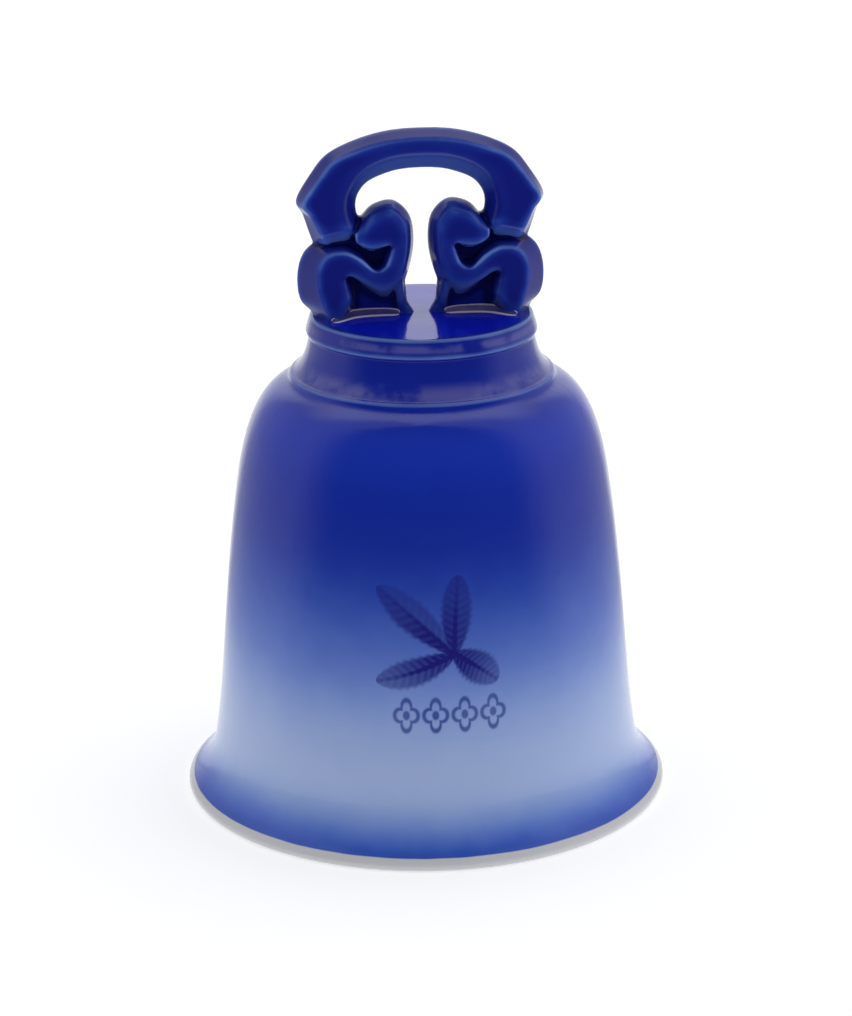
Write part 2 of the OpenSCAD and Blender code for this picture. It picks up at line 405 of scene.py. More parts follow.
class Wiring:
    """Adds nodes to a shader tree and joins them up."""

    def __init__(self, tree: bpy.types.NodeTree) -> None:
        """Keeps the tree that the nodes go into."""
        self.tree = tree

    def node(self, kind: str, **settings: object) -> bpy.types.Node:
        """Adds a node.

        Args:
            kind: Blender's name for the kind of node.
            settings: Properties set on it.

        Returns:
            The node.
        """
        made = self.tree.nodes.new(kind)
        for name, value in settings.items():
            setattr(made, name, value)
        return made

    def feed(self, socket: bpy.types.NodeSocket, value: object) -> None:
        """Links a socket to another, or sets its plain value.

        Args:
            socket: The input.
            value: An output socket, or a value.
        """
        if isinstance(value, bpy.types.NodeSocket):
            self.tree.links.new(value, socket)
        else:
            socket.default_value = value

    def math(self, operation: str, *values: object, clamp: bool = False) -> bpy.types.NodeSocket:
        """One arithmetic step.

        Args:
            operation: Blender's name for it.
            values: Sockets or numbers.
            clamp: Whether the result is held between 0 and 1.

        Returns:
            The result's socket.
        """
        made = self.node("ShaderNodeMath", operation=operation, use_clamp=clamp)
        for socket, value in zip(made.inputs, values):
            self.feed(socket, value)
        return made.outputs[0]

    def ramp(self, value: object, low: float, high: float) -> bpy.types.NodeSocket:
        """A smooth step that is 0 at low and 1 at high, whichever of the two is larger.

        Args:
            value: A socket or number.
            low: Where the step is 0.
            high: Where the step is 1.

        Returns:
            The step's socket.
        """
        made = self.node("ShaderNodeMapRange", interpolation_type="SMOOTHSTEP")
        for name, number in (("Value", value), ("From Min", low), ("From Max", high)):
            self.feed(made.inputs[name], number)
        return made.outputs["Result"]

    def belt(self, value: object, rise: tuple, fall: tuple) -> bpy.types.NodeSocket:
        """A mask that steps up over one stretch and down again over another.

        Args:
            value: A socket or number.
            rise: Where the step up starts and ends.
            fall: Where the step down starts and ends.

        Returns:
            The mask's socket.
        """
        return self.math("MULTIPLY", self.ramp(value, *rise), self.ramp(value, fall[1], fall[0]))

    def noise(self, vector: object, scale: float, detail: float = 2.0) -> bpy.types.NodeSocket:
        """Smooth noise from 0 to 1.

        Args:
            vector: Where it is sampled.
            scale: Features to a metre.
            detail: Finer octaves added.

        Returns:
            The noise's socket.
        """
        made = self.node("ShaderNodeTexNoise")
        self.feed(made.inputs["Vector"], vector)
        made.inputs["Scale"].default_value = scale
        made.inputs["Detail"].default_value = detail
        return made.outputs["Fac"]

    def mix(self, share: object, a: object, b: object, blend: str = "MIX") -> bpy.types.NodeSocket:
        """Mixes two colours.

        Args:
            share: How much of b.
            a: A colour or socket.
            b: A colour or socket.
            blend: Blender's name for the way they mix.

        Returns:
            The mixed colour's socket.
        """
        made = self.node("ShaderNodeMix", data_type="RGBA", blend_type=blend)
        self.feed(made.inputs["Factor"], share)
        self.feed(made.inputs[6], a)
        self.feed(made.inputs[7], b)
        return made.outputs[2]

    def group(self, tree: bpy.types.NodeTree, **inputs: object) -> bpy.types.Node:
        """Places a node group and feeds its inputs.

        Args:
            tree: The group.
            inputs: Values by input name, with _ for each space.

        Returns:
            The group's node.
        """
        made = self.node("ShaderNodeGroup", node_tree=tree)
        for name, value in inputs.items():
            self.feed(made.inputs[name.replace("_", " ")], value)
        return made


def new_group(
    name: str, inputs: dict[str, float], outputs: list[str]
) -> tuple[Wiring, bpy.types.Node, bpy.types.Node]:
    """Starts a node group of plain numbers.

    Args:
        name: The group's name.
        inputs: Each input's name and default.
        outputs: The outputs' names.

    Returns:
        The wiring, the input node and the output node.
    """
    tree = bpy.data.node_groups.new(name, "ShaderNodeTree")
    for label, default in inputs.items():
        socket = tree.interface.new_socket(name=label, in_out="INPUT", socket_type="NodeSocketFloat")
        socket.default_value = default
    for label in outputs:
        tree.interface.new_socket(name=label, in_out="OUTPUT", socket_type="NodeSocketFloat")
    wiring = Wiring(tree)
    return wiring, wiring.node("NodeGroupInput"), wiring.node("NodeGroupOutput")


def glaze_ripple_group() -> bpy.types.NodeTree:
    """The faint unevenness of a fired glaze.

    Returns:
        A group with Coarse and Fine strengths in, and Height and Mottle out.
    """
    w, inputs, outputs = new_group("glaze_ripple", {"Coarse": 1.0, "Fine": 1.0}, ["Height", "Mottle"])
    place = w.node("ShaderNodeTexCoord").outputs["Object"]
    coarse = w.noise(place, 70.0, 1.0)
    fine = w.noise(place, 620.0, 2.0)
    cloud = w.noise(place, 160.0, 5.0)
    swell = w.math("MULTIPLY", coarse, inputs.outputs["Coarse"])
    grain = w.math("MULTIPLY", fine, inputs.outputs["Fine"])
    height = w.math("ADD", swell, grain)
    w.feed(outputs.inputs["Height"], height)
    w.feed(outputs.inputs["Mottle"], cloud)
    return w.tree


def skirt_place_group() -> bpy.types.NodeTree:
    """Where a point lies on the front of the skirt, unrolled flat, in millimetres.

    Returns:
        A group with Radius in, and Across and Height out.
    """
    w, inputs, outputs = new_group("skirt_place", {"Radius": SKIRT_RADIUS}, ["Across", "Height"])
    split = w.node("ShaderNodeSeparateXYZ")
    w.feed(split.inputs[0], w.node("ShaderNodeTexCoord").outputs["Object"])
    turn = w.math("ARCTAN2", split.outputs["X"], w.math("MULTIPLY", split.outputs["Y"], -1.0))
    w.feed(outputs.inputs["Across"], w.math("MULTIPLY", turn, inputs.outputs["Radius"]))
    w.feed(outputs.inputs["Height"], w.math("MULTIPLY", split.outputs["Z"], 1000.0))
    return w.tree


def painted_leaf_group() -> bpy.types.NodeTree:
    """One brushed leaf: a toothed blade with slanting veins, heavier on one side of its rib.

    Along the leaf a runs from 0 at the stem to 1 at the tip, and its half width is
    Width sin(pi a^1.2)^0.52, with small teeth. Veins are stripes of a less the distance from the rib.

    Returns:
        A group whose Mask is how much paint lies at a point.
    """
    names = {
        "Across": 0.0, "Height": 0.0, "Stem X": 0.0, "Stem Z": 0.0, "Angle": 0.0, "Length": 10.0,
        "Width": 3.0, "Bend": 0.0, "Left Share": 1.0, "Right Share": 1.0, "Grain": 0.5,
    }
    w, inputs, outputs = new_group("painted_leaf", names, ["Mask"])
    get = inputs.outputs
    dx = w.math("SUBTRACT", get["Across"], get["Stem X"])
    dz = w.math("SUBTRACT", get["Height"], get["Stem Z"])
    cosine, sine = w.math("COSINE", get["Angle"]), w.math("SINE", get["Angle"])
    along = w.math("ADD", w.math("MULTIPLY", dx, cosine), w.math("MULTIPLY", dz, sine))
    a = w.math("DIVIDE", along, get["Length"])
    inside = w.math("MULTIPLY", w.math("GREATER_THAN", a, 0.0), w.math("LESS_THAN", a, 1.0))
    a = w.math("MAXIMUM", w.math("MINIMUM", a, 0.999), 0.001)
    across = w.math("SUBTRACT", w.math("MULTIPLY", dz, cosine), w.math("MULTIPLY", dx, sine))
    arc = w.math("MULTIPLY", w.math("MULTIPLY", a, w.math("SUBTRACT", 1.0, a)), get["Bend"])
    across = w.math("SUBTRACT", across, arc)
    swell = w.math("SINE", w.math("MULTIPLY", w.math("POWER", a, 1.2), math.pi))
    half = w.math("MULTIPLY", w.math("POWER", w.math("MAXIMUM", swell, 0.0), 0.52), get["Width"])
    tooth = w.math("PINGPONG", w.math("MULTIPLY", a, LEAF_VEINS), 0.5)
    half = w.math("MULTIPLY", half, w.math("ADD", 0.93, w.math("MULTIPLY", tooth, 0.22)))
    far = w.math("DIVIDE", w.math("ABSOLUTE", across), w.math("MAXIMUM", half, 0.02))
    far = w.math("ADD", far, w.math("MULTIPLY", w.math("SUBTRACT", get["Grain"], 0.5), 0.35))
    blade = w.ramp(far, 1.12, 0.72)
    slant = w.math("SUBTRACT", w.math("MULTIPLY", a, LEAF_VEINS), far)
    vein = w.math("SINE", w.math("MULTIPLY", slant, 2 * math.pi))
    density = w.math("ADD", 0.92, w.math("MULTIPLY", vein, 0.08))
    rib = w.ramp(w.math("ABSOLUTE", across), 0.6, 0.1)
    density = w.math("ADD", density, w.math("MULTIPLY", rib, 0.3))
    side = w.ramp(across, -0.6, 0.6)
    left = w.math("MULTIPLY", side, get["Left Share"])
    right = w.math("MULTIPLY", w.math("SUBTRACT", 1.0, side), get["Right Share"])
    share = w.math("ADD", left, right)
    base_weight = w.ramp(a, 1.1, 0.15)
    density = w.math("MULTIPLY", density, w.math("ADD", 0.55, w.math("MULTIPLY", base_weight, 0.5)))
    painted = w.math("MULTIPLY", blade, density)
    mask = w.math("MULTIPLY", painted, w.math("MULTIPLY", share, inside), clamp=True)
    w.feed(outputs.inputs["Mask"], mask)
    return w.tree


def painted_floret_group() -> bpy.types.NodeTree:
    """A small four-lobed floret drawn in one soft stroke, with a dot at its heart.

    The stroke follows the radius R (0.56 + 0.44 |cos 2v|) at angle v about the floret's centre,
    after its height is divided by Tall.

    Returns:
        A group whose Mask is how much paint lies at a point.
    """
    names = {
        "Across": 0.0, "Height": 0.0, "Centre X": 0.0, "Centre Z": 0.0,
        "Radius": 2.1, "Tall": 1.4, "Stroke": 0.4,
    }
    w, inputs, outputs = new_group("painted_floret", names, ["Mask"])
    get = inputs.outputs
    dx = w.math("SUBTRACT", get["Across"], get["Centre X"])
    dz = w.math("DIVIDE", w.math("SUBTRACT", get["Height"], get["Centre Z"]), get["Tall"])
    reach = w.math("SQRT", w.math("ADD", w.math("MULTIPLY", dx, dx), w.math("MULTIPLY", dz, dz)))
    lobes = w.math("ABSOLUTE", w.math("COSINE", w.math("MULTIPLY", w.math("ARCTAN2", dz, dx), 2.0)))
    wanted = w.math("MULTIPLY", get["Radius"], w.math("ADD", 0.56, w.math("MULTIPLY", lobes, 0.44)))
    gap = w.math("ABSOLUTE", w.math("SUBTRACT", reach, wanted))
    outer = w.math("MULTIPLY", get["Stroke"], 1.5)
    inner = w.math("MULTIPLY", get["Stroke"], 0.35)
    stroke = w.ramp(gap, outer, inner)
    dot = w.ramp(reach, w.math("MULTIPLY", get["Stroke"], 2.2), w.math("MULTIPLY", get["Stroke"], 1.2))
    w.feed(outputs.inputs["Mask"], w.math("MAXIMUM", stroke, dot))
    return w.tree


@dataclass(frozen=True)
class Leaf:
    """One painted leaf on the unrolled front of the skirt, in millimetres and degrees."""

    stem_x: float
    stem_z: float
    angle: float
    length: float
    width: float
    bend: float
    left_share: float
    right_share: float


def new_material(name: str) -> tuple[bpy.types.Material, Wiring, bpy.types.Node]:
    """A material with one Principled shader.

    Args:
        name: The material's name.

    Returns:
        The material, its wiring and the shader.
    """
    material = bpy.data.materials.new(name)
    material.use_nodes = True
    return material, Wiring(material.node_tree), material.node_tree.nodes["Principled BSDF"]


def add_bump(w: Wiring, shader: bpy.types.Node, height: object, strength: float, distance: float) -> None:
    """Bends a shader's normal by a height.

    Args:
        w: The material's wiring.
        shader: The shader.
        height: The height's socket, from 0 to 1.
        strength: How much of the bend is kept.
        distance: The height in metres that 1 stands for.
    """
    bump = w.node("ShaderNodeBump")
    bump.inputs["Strength"].default_value = strength
    bump.inputs["Distance"].default_value = distance
    w.feed(bump.inputs["Height"], height)
    w.feed(shader.inputs["Normal"], bump.outputs["Normal"])


@dataclass(frozen=True)
class CobaltGlaze:
    """Deep cobalt glaze, thin and pale on edges and pooled dark in creases, with painted highlights and
    painted shade.
    """

    name: str
    ripple: bpy.types.NodeTree
    body: tuple = (0.007, 0.013, 0.22, 1.0)
    bright: tuple = (0.014, 0.040, 0.36, 1.0)
    pooled_and_shaded: tuple = (0.003, 0.005, 0.10, 1.0)
    thin_glaze_and_painted_light: tuple = (0.17, 0.32, 0.74, 1.0)
    roughness: float = 0.09

    def build(self) -> bpy.types.Material:
        """Makes the material.

        Returns:
            The material.
        """
        material, w, shader = new_material(self.name)
        ripple = w.group(self.ripple, Coarse=1.0, Fine=0.12)
        relief = w.node("ShaderNodeAttribute", attribute_name="relief").outputs["Fac"]
        mottle = w.math("MULTIPLY", w.math("SUBTRACT", ripple.outputs["Mottle"], 0.5), 0.25)
        pooling_and_painted_light = w.node("ShaderNodeAttribute", attribute_name="pooling_and_painted_light").outputs["Fac"]
        depth = w.math("ADD", pooling_and_painted_light, mottle)
        # Painted highlight: broad bulges, where the smoothed convexity is high, are mixed towards the bright
        # cobalt.
        colour = w.mix(w.ramp(depth, 0.1, 1.2), self.body, self.bright)
        # Painted bounce light: faces turned downwards are mixed towards the pale cobalt, as if lit from the
        # floor below.
        underside_bounce_light = w.node("ShaderNodeAttribute", attribute_name="underside_bounce_light").outputs["Fac"]
        colour = w.mix(w.math("MULTIPLY", underside_bounce_light, 0.26), colour, self.thin_glaze_and_painted_light)
        # Glaze pooling and painted shade: creases are mixed towards the dark pooled cobalt.
        colour = w.mix(w.ramp(depth, -0.05, -0.7), colour, self.pooled_and_shaded)
        # Thin glaze and painted highlight: sharp edges are mixed towards the pale cobalt, more on
        # upward-facing edges.
        ridge = w.ramp(w.math("ADD", relief, w.math("MULTIPLY", mottle, 0.6)), 0.18, 0.95)
        colour = w.mix(w.math("MULTIPLY", ridge, 0.78), colour, self.thin_glaze_and_painted_light)
        w.feed(shader.inputs["Base Color"], colour)
        shader.inputs["Roughness"].default_value = self.roughness
        shader.inputs["IOR"].default_value = 1.5
        add_bump(w, shader, ripple.outputs["Height"], 0.25, 0.0006)
        return material


@dataclass(frozen=True)
class PaintedGlaze:
    """The bell's own glaze: sprayed cobalt that fades down the skirt, a painted sprig, a white foot."""

    ripple: bpy.types.NodeTree
    place: bpy.types.NodeTree
    leaf: bpy.types.NodeTree
    floret: bpy.types.NodeTree
    sprig: tuple[Leaf, ...] = (
        Leaf(0.9, 39.0, 138.0, 18.8, 3.1, -1.5, 1.0, 0.6),
        Leaf(0.9, 38.6, 86.0, 15.0, 3.0, 0.6, 0.95, 0.85),
        Leaf(0.6, 39.4, -36.0, 10.0, 3.3, 0.6, 0.9, 1.0),
        Leaf(1.2, 39.1, 200.0, 15.2, 2.8, 2.2, 0.9, 1.0),
    )
    floret_xs: tuple[float, ...] = (-7.7, -2.6, 2.5, 7.6)
    floret_z: float = 27.7
    floret_radius: float = 2.05
    floret_tall: float = 1.42
    floret_stroke: float = 0.36
    paint: tuple = (0.013, 0.013, 0.20, 1.0)
    stroke_paint: tuple = (0.03, 0.055, 0.30, 1.0)
    white: tuple = (0.64, 0.65, 0.68, 1.0)
    # The interior's white, lighter than the foot's as painted light for the dim inside.
    lit_lining: tuple = (0.82, 0.82, 0.81, 1.0)
    thin_glaze_and_painted_light: tuple = (0.13, 0.24, 0.62, 1.0)
    # How much higher the colour is looked up on the front, in millimetres.
    front_shift: float = 2.2
    # Lilac-grey of the painted reflections on the ledge and in the rim's groove.
    painted_reflection: tuple = (0.15, 0.15, 0.42, 1.0)
    drift_rise: tuple = (6.0, 30.0)
    drift_reach: float = 2.5
    cloud_reach: float = 1.5
    front_rise: tuple = (24.0, 44.0)
    ledge_rise: tuple = (81.6, 82.8)
    ledge_fall: tuple = (83.2, 85.6)
    groove_rise: tuple = (90.4, 91.0)
    groove_fall: tuple = (91.5, 92.4)
    roughness: float = 0.11
    heights: tuple = (
        (2.0, (0.030, 0.086, 0.49)),
        (4.0, (0.052, 0.130, 0.62)),
        (7.0, (0.20, 0.32, 0.73)),
        (10.5, (0.34, 0.46, 0.78)),
        (15.0, (0.385, 0.49, 0.78)),
        (22.0, (0.33, 0.435, 0.76)),
        (29.0, (0.235, 0.345, 0.71)),
        (36.0, (0.130, 0.215, 0.62)),
        (44.0, (0.066, 0.132, 0.53)),
        (52.0, (0.021, 0.060, 0.42)),
        (60.0, (0.008, 0.026, 0.345)),
        (70.0, (0.007, 0.026, 0.36)),
        (78.0, (0.013, 0.042, 0.50)),
        (82.5, (0.008, 0.024, 0.36)),
        (93.0, (0.006, 0.016, 0.27)),
    )
    plate: tuple = (0.004, 0.012, 0.52, 1.0)
    top: float = 100.0

    def sprayed_colour(self, w: Wiring, height: object) -> bpy.types.NodeSocket:
        """The sprayed colour at a height.

        Args:
            w: The material's wiring.
            height: The height in millimetres.

        Returns:
            The colour's socket.
        """
        ramp = w.node("ShaderNodeValToRGB")
        ramp.color_ramp.interpolation = "B_SPLINE"
        elements = ramp.color_ramp.elements
        while len(elements) < len(self.heights):
            elements.new(0.5)
        for element, (level, colour) in zip(elements, self.heights):
            element.position = level / self.top
            element.color = (*colour, 1.0)
        w.feed(ramp.inputs["Fac"], w.math("DIVIDE", height, self.top))
        return ramp.outputs["Color"]

    def build(self) -> bpy.types.Material:
        """Makes the material.

        Returns:
            The material.
        """
        material, w, shader = new_material("painted_bell_glaze")
        ripple = w.group(self.ripple, Coarse=1.3, Fine=0.26)
        mottle = w.math("SUBTRACT", ripple.outputs["Mottle"], 0.5)
        spot = w.group(self.place, Radius=SKIRT_RADIUS)
        across, height = spot.outputs["Across"], spot.outputs["Height"]
        drift = w.math("MULTIPLY", w.ramp(height, *self.drift_rise), self.drift_reach)
        cloudy = w.math("ADD", height, w.math("MULTIPLY", mottle, w.math("ADD", drift, self.cloud_reach)))
        # Between the front_rise heights the colour is looked up higher on the front than at the sides, so
        # the front is darker.
        darker_front = w.math("MULTIPLY", w.ramp(height, *self.front_rise), self.front_shift)
        facing = w.math("COSINE", w.math("DIVIDE", across, SKIRT_RADIUS))
        cloudy = w.math("ADD", cloudy, w.math("MULTIPLY", facing, darker_front))
        colour = self.sprayed_colour(w, cloudy)

        front = w.math("GREATER_THAN", facing, 0.0)
        total: object = 0.0
        for leaf in self.sprig:
            made = w.group(
                self.leaf, Across=across, Height=height, Stem_X=leaf.stem_x, Stem_Z=leaf.stem_z,
                Angle=math.radians(leaf.angle), Length=leaf.length, Width=leaf.width, Bend=leaf.bend,
                Left_Share=leaf.left_share, Right_Share=leaf.right_share, Grain=ripple.outputs["Mottle"],
            ).outputs["Mask"]
            total = w.math("MAXIMUM", total, made)
        colour = w.mix(w.math("MULTIPLY", total, front), colour, self.paint)

        total = 0.0
        for x in self.floret_xs:
            made = w.group(
                self.floret, Across=across, Height=height, Centre_X=x, Centre_Z=self.floret_z,
                Radius=self.floret_radius, Tall=self.floret_tall, Stroke=self.floret_stroke,
            ).outputs["Mask"]
            total = w.math("MAXIMUM", total, made)
        worn = w.math("ADD", 0.62, w.math("MULTIPLY", ripple.outputs["Mottle"], 0.4), clamp=True)
        colour = w.mix(w.math("MULTIPLY", w.math("MULTIPLY", total, front), worn), colour, self.stroke_paint)

        top = w.node("ShaderNodeAttribute", attribute_name="plate").outputs["Fac"]
        colour = w.mix(w.ramp(w.math("ADD", top, mottle), 0.2, 0.9), colour, self.plate)
        # Thin glaze and painted highlight: the turned ridges are mixed towards the pale cobalt.
        relief = w.node("ShaderNodeAttribute", attribute_name="relief").outputs["Fac"]
        ridge = w.ramp(w.math("ADD", relief, w.math("MULTIPLY", mottle, 0.8)), 0.15, 1.15)
        colour = w.mix(w.math("MULTIPLY", ridge, 0.6), colour, self.thin_glaze_and_painted_light)
        # Painted reflection: ragged lilac-grey patches in a belt on the ledge and a fainter one in the rim's
        # groove.
        ledge = w.belt(height, self.ledge_rise, self.ledge_fall)
        groove = w.belt(height, self.groove_rise, self.groove_fall)
        ragged_reflection_edge = w.ramp(w.math("ADD", ripple.outputs["Mottle"], w.math("MULTIPLY", facing, 0.04)), 0.42, 0.66)
        reflection_patches = w.math("MULTIPLY", w.math("MAXIMUM", ledge, w.math("MULTIPLY", groove, 0.8)), ragged_reflection_edge)
        colour = w.mix(w.math("MULTIPLY", reflection_patches, 0.6), colour, self.painted_reflection)
        inside = w.node("ShaderNodeAttribute", attribute_name="bare").outputs["Fac"]
        edge = w.math("ADD", inside, w.math("MULTIPLY", mottle, 0.25))
        # Painted light: the inside takes the lighter lit-lining white, the foot the plain white.
        white_and_lit_lining = w.mix(w.ramp(inside, 0.85, 0.98), self.white, self.lit_lining)
        colour = w.mix(w.ramp(edge, 0.30, 0.56), colour, white_and_lit_lining)
        w.feed(shader.inputs["Base Color"], colour)
        shader.inputs["Roughness"].default_value = self.roughness
        shader.inputs["IOR"].default_value = 1.5
        add_bump(w, shader, ripple.outputs["Height"], 0.2, 0.0006)
        return material


@dataclass(frozen=True)
class SmearedSlip:
    """Slip that shows lilac-grey through thin glaze, with painted highlights along its edges."""

    ripple: bpy.types.NodeTree
    body: tuple = (0.13, 0.11, 0.26, 1.0)
    stained: tuple = (0.05, 0.05, 0.22, 1.0)
    edge: tuple = (0.60, 0.56, 0.82, 1.0)
    roughness: float = 0.16

    def build(self) -> bpy.types.Material:
        """Makes the material.

        Returns:
            The material.
        """
        material, w, shader = new_material("smeared_slip")
        ripple = w.group(self.ripple, Coarse=1.0, Fine=0.3)
        colour = w.mix(w.ramp(ripple.outputs["Mottle"], 0.35, 0.65), self.body, self.stained)
        relief = w.node("ShaderNodeAttribute", attribute_name="relief").outputs["Fac"]
        # Painted highlight: the seam's lips are mixed towards the pale lilac edge colour.
        w.feed(shader.inputs["Base Color"], w.mix(w.ramp(relief, 0.35, 0.95), colour, self.edge))
        shader.inputs["Roughness"].default_value = self.roughness
        add_bump(w, shader, ripple.outputs["Height"], 0.3, 0.0006)
        return material


@dataclass(frozen=True)
class WhiteGlaze:
    """Plain white porcelain under a clear glaze."""

    ripple: bpy.types.NodeTree
    colour: tuple = (0.82, 0.82, 0.80, 1.0)
    shade: tuple = (0.70, 0.71, 0.72, 1.0)
    roughness: float = 0.12

    def build(self) -> bpy.types.Material:
        """Makes the material.

        Returns:
            The material.
        """
        material, w, shader = new_material("white_glaze")
        ripple = w.group(self.ripple, Coarse=1.0, Fine=0.2)
        shaded = w.ramp(ripple.outputs["Mottle"], 0.3, 0.75)
        w.feed(shader.inputs["Base Color"], w.mix(shaded, self.colour, self.shade))
        shader.inputs["Roughness"].default_value = self.roughness
        add_bump(w, shader, ripple.outputs["Height"], 0.25, 0.0006)
        return material


@dataclass(frozen=True)
class DrawnBrass:
    """Drawn brass wire, dulled a little by handling."""

    ripple: bpy.types.NodeTree
    bright: tuple = (0.72, 0.50, 0.20, 1.0)
    dull: tuple = (0.40, 0.26, 0.11, 1.0)
    roughness: float = 0.22
    tarnish_roughness: float = 0.25

    def build(self) -> bpy.types.Material:
        """Makes the material.

        Returns:
            The material.
        """
        material, w, shader = new_material("drawn_brass")
        ripple = w.group(self.ripple, Coarse=0.4, Fine=1.0)
        tarnish = w.ramp(ripple.outputs["Mottle"], 0.42, 0.72)
        w.feed(shader.inputs["Base Color"], w.mix(tarnish, self.bright, self.dull))
        rougher = w.math("MULTIPLY", tarnish, self.tarnish_roughness)
        w.feed(shader.inputs["Roughness"], w.math("ADD", self.roughness, rougher))
        shader.inputs["Metallic"].default_value = 1.0
        add_bump(w, shader, ripple.outputs["Height"], 0.2, 0.0002)
        return material


# ---------------------------------------------------------------------------------------------
# Sub-assemblies
# ---------------------------------------------------------------------------------------------


@dataclass
class BellShell:
    """The slip-cast bell, turned from one outline: foot, lip, skirt, shoulder, neck, rim and crown."""

    foot: float = field(default_factory=lambda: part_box("bell_shell")[1].x / MM)
    crown: float = field(default_factory=lambda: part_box("bell_shell")[1].z / MM)
    wall: float = 3.0
    crown_wall: float = 3.6
    foot_band: float = 2.4
    foot_bareness: float = 0.8
    plate_edge: float = 20.2
    steps: int = 288

    def outer(self) -> np.ndarray:
        """The outer outline.

        Returns:
            Rows of radius and height, from the crown's centre down to the foot.
        """
        foot, crown = self.foot, self.crown
        up = np.vstack([
            bezier((foot - 1.4, 0), (foot - 0.5, 0), (foot, 0.4), (foot, 1.1), 8),
            bezier((foot, 1.1), (foot, 1.6), (foot - 0.4, 2), (foot - 1, 2.4), 8),
            bezier((foot - 1, 2.4), (foot - 2.8, 3.7), (foot - 5, 6.4), (foot - 5.6, 10.6), 16),
            bezier((foot - 5.6, 10.6), (foot - 7.9, 25.9), (foot - 8, 43.4), (foot - 11.4, 64), 34),
            bezier((foot - 11.4, 64), (31.5, 81.1), (25.6, 79.4), (24.9, 81.2), 36),
            bezier((24.9, 81.2), (24.9, 81.9), (24.6, 82.1), (24, 82.3), 8),
            bezier((24, 82.3), (22.3, 83.7), (21.4, 86.0), (21, 89.2), 18),
            bezier((21, 89.2), (21.5, 89.4), (21.6, 89.8), (21.5, 90.3), 8),
            bezier((21.5, 90.3), (21.2, 91.4), (21, 92.1), (20.8, crown - 0.5), 8),
            bezier((20.8, crown - 0.5), (20.7, crown - 0.1), (20.4, crown), (19.8, crown), 8),
            np.column_stack([np.linspace(19.8, 2, 10), np.full(10, crown)]),
            [[0, crown]],
        ])
        return up[::-1]

    def inner(self) -> np.ndarray:
        """The inner outline.

        Returns:
            Rows of radius and height, from the foot up to the ceiling's centre.
        """
        foot, wall, top = self.foot, self.wall, self.crown - self.crown_wall
        down = np.vstack([
            [[0, top], [6, top], [11, top]],
            bezier((15, top), (17, top), (17.6, top - 1.2), (18.2, top - 3.4), 10),
            bezier((18.2, top - 3.4), (20.5, 78.5), (27, 78.6), (foot - 11.4 - wall, 64), 24),
            bezier((foot - 11.4 - wall, 64), (foot - 8 - wall, 43.4), (foot - 7.9 - wall, 25.9),
                   (foot - 5.6 - wall, 10.6), 24),
            bezier((foot - 5.6 - wall, 10.6), (foot - 5.4 - wall, 6.4), (foot - 4.4 - wall, 3.4),
                   (foot - 1.6 - wall, 0.6), 12),
            [[foot - 1.4 - wall, 0.2], [foot - 1 - wall, 0]],
        ])
        return down[::-1]

    def relief(self, outline: np.ndarray) -> np.ndarray:
        """How sharply the outline turns outwards at each row, from 0 on plain walls to 1 on edges.

        It is the turning angle over the length nearby, which is the outline's curvature.

        Args:
            outline: Rows of radius and height.

        Returns:
            One number a row.
        """
        step = np.gradient(outline, axis=0)
        length = np.hypot(step[:, 0], step[:, 1])
        heading = np.unwrap(np.arctan2(step[:, 1], step[:, 0]))
        bend = -np.gradient(heading) / np.maximum(length, 0.05)
        smooth = np.convolve(np.pad(bend, 2, mode="edge"), np.ones(5) / 5, mode="valid")
        return np.clip(smooth * 0.9, -1.0, 1.0)

    def build(self, glaze: bpy.types.Material) -> bpy.types.Object:
        """Makes the shell.

        Args:
            glaze: Its material.

        Returns:
            The piece.
        """
        outer, inner = self.outer(), self.inner()
        outline = np.vstack([outer, inner])
        points, faces, row_of = revolve(outline, self.steps)
        mesh = new_mesh("bell_body", points, faces)
        relief = np.concatenate([self.relief(outer), np.zeros(len(inner))])
        relief[outline[:, 1] < self.foot_band + 2] = 0
        bare = np.ones(len(outline))
        foot = np.clip((self.foot_band + 0.25 - outer[:, 1]) / 0.5, 0, 1)
        bare[: len(outer)] = self.foot_bareness * foot
        set_values(mesh, "relief", relief[row_of])
        set_values(mesh, "bare", bare[row_of])
        level = self.crown - outline[:, 1] < 0.05
        plate = np.clip(level * (self.plate_edge - outline[:, 0]) / 1.5, 0, 1)
        set_values(mesh, "plate", plate[row_of])
        mesh.materials.append(glaze)
        return new_piece(mesh, "bell", ["bell_shell"])


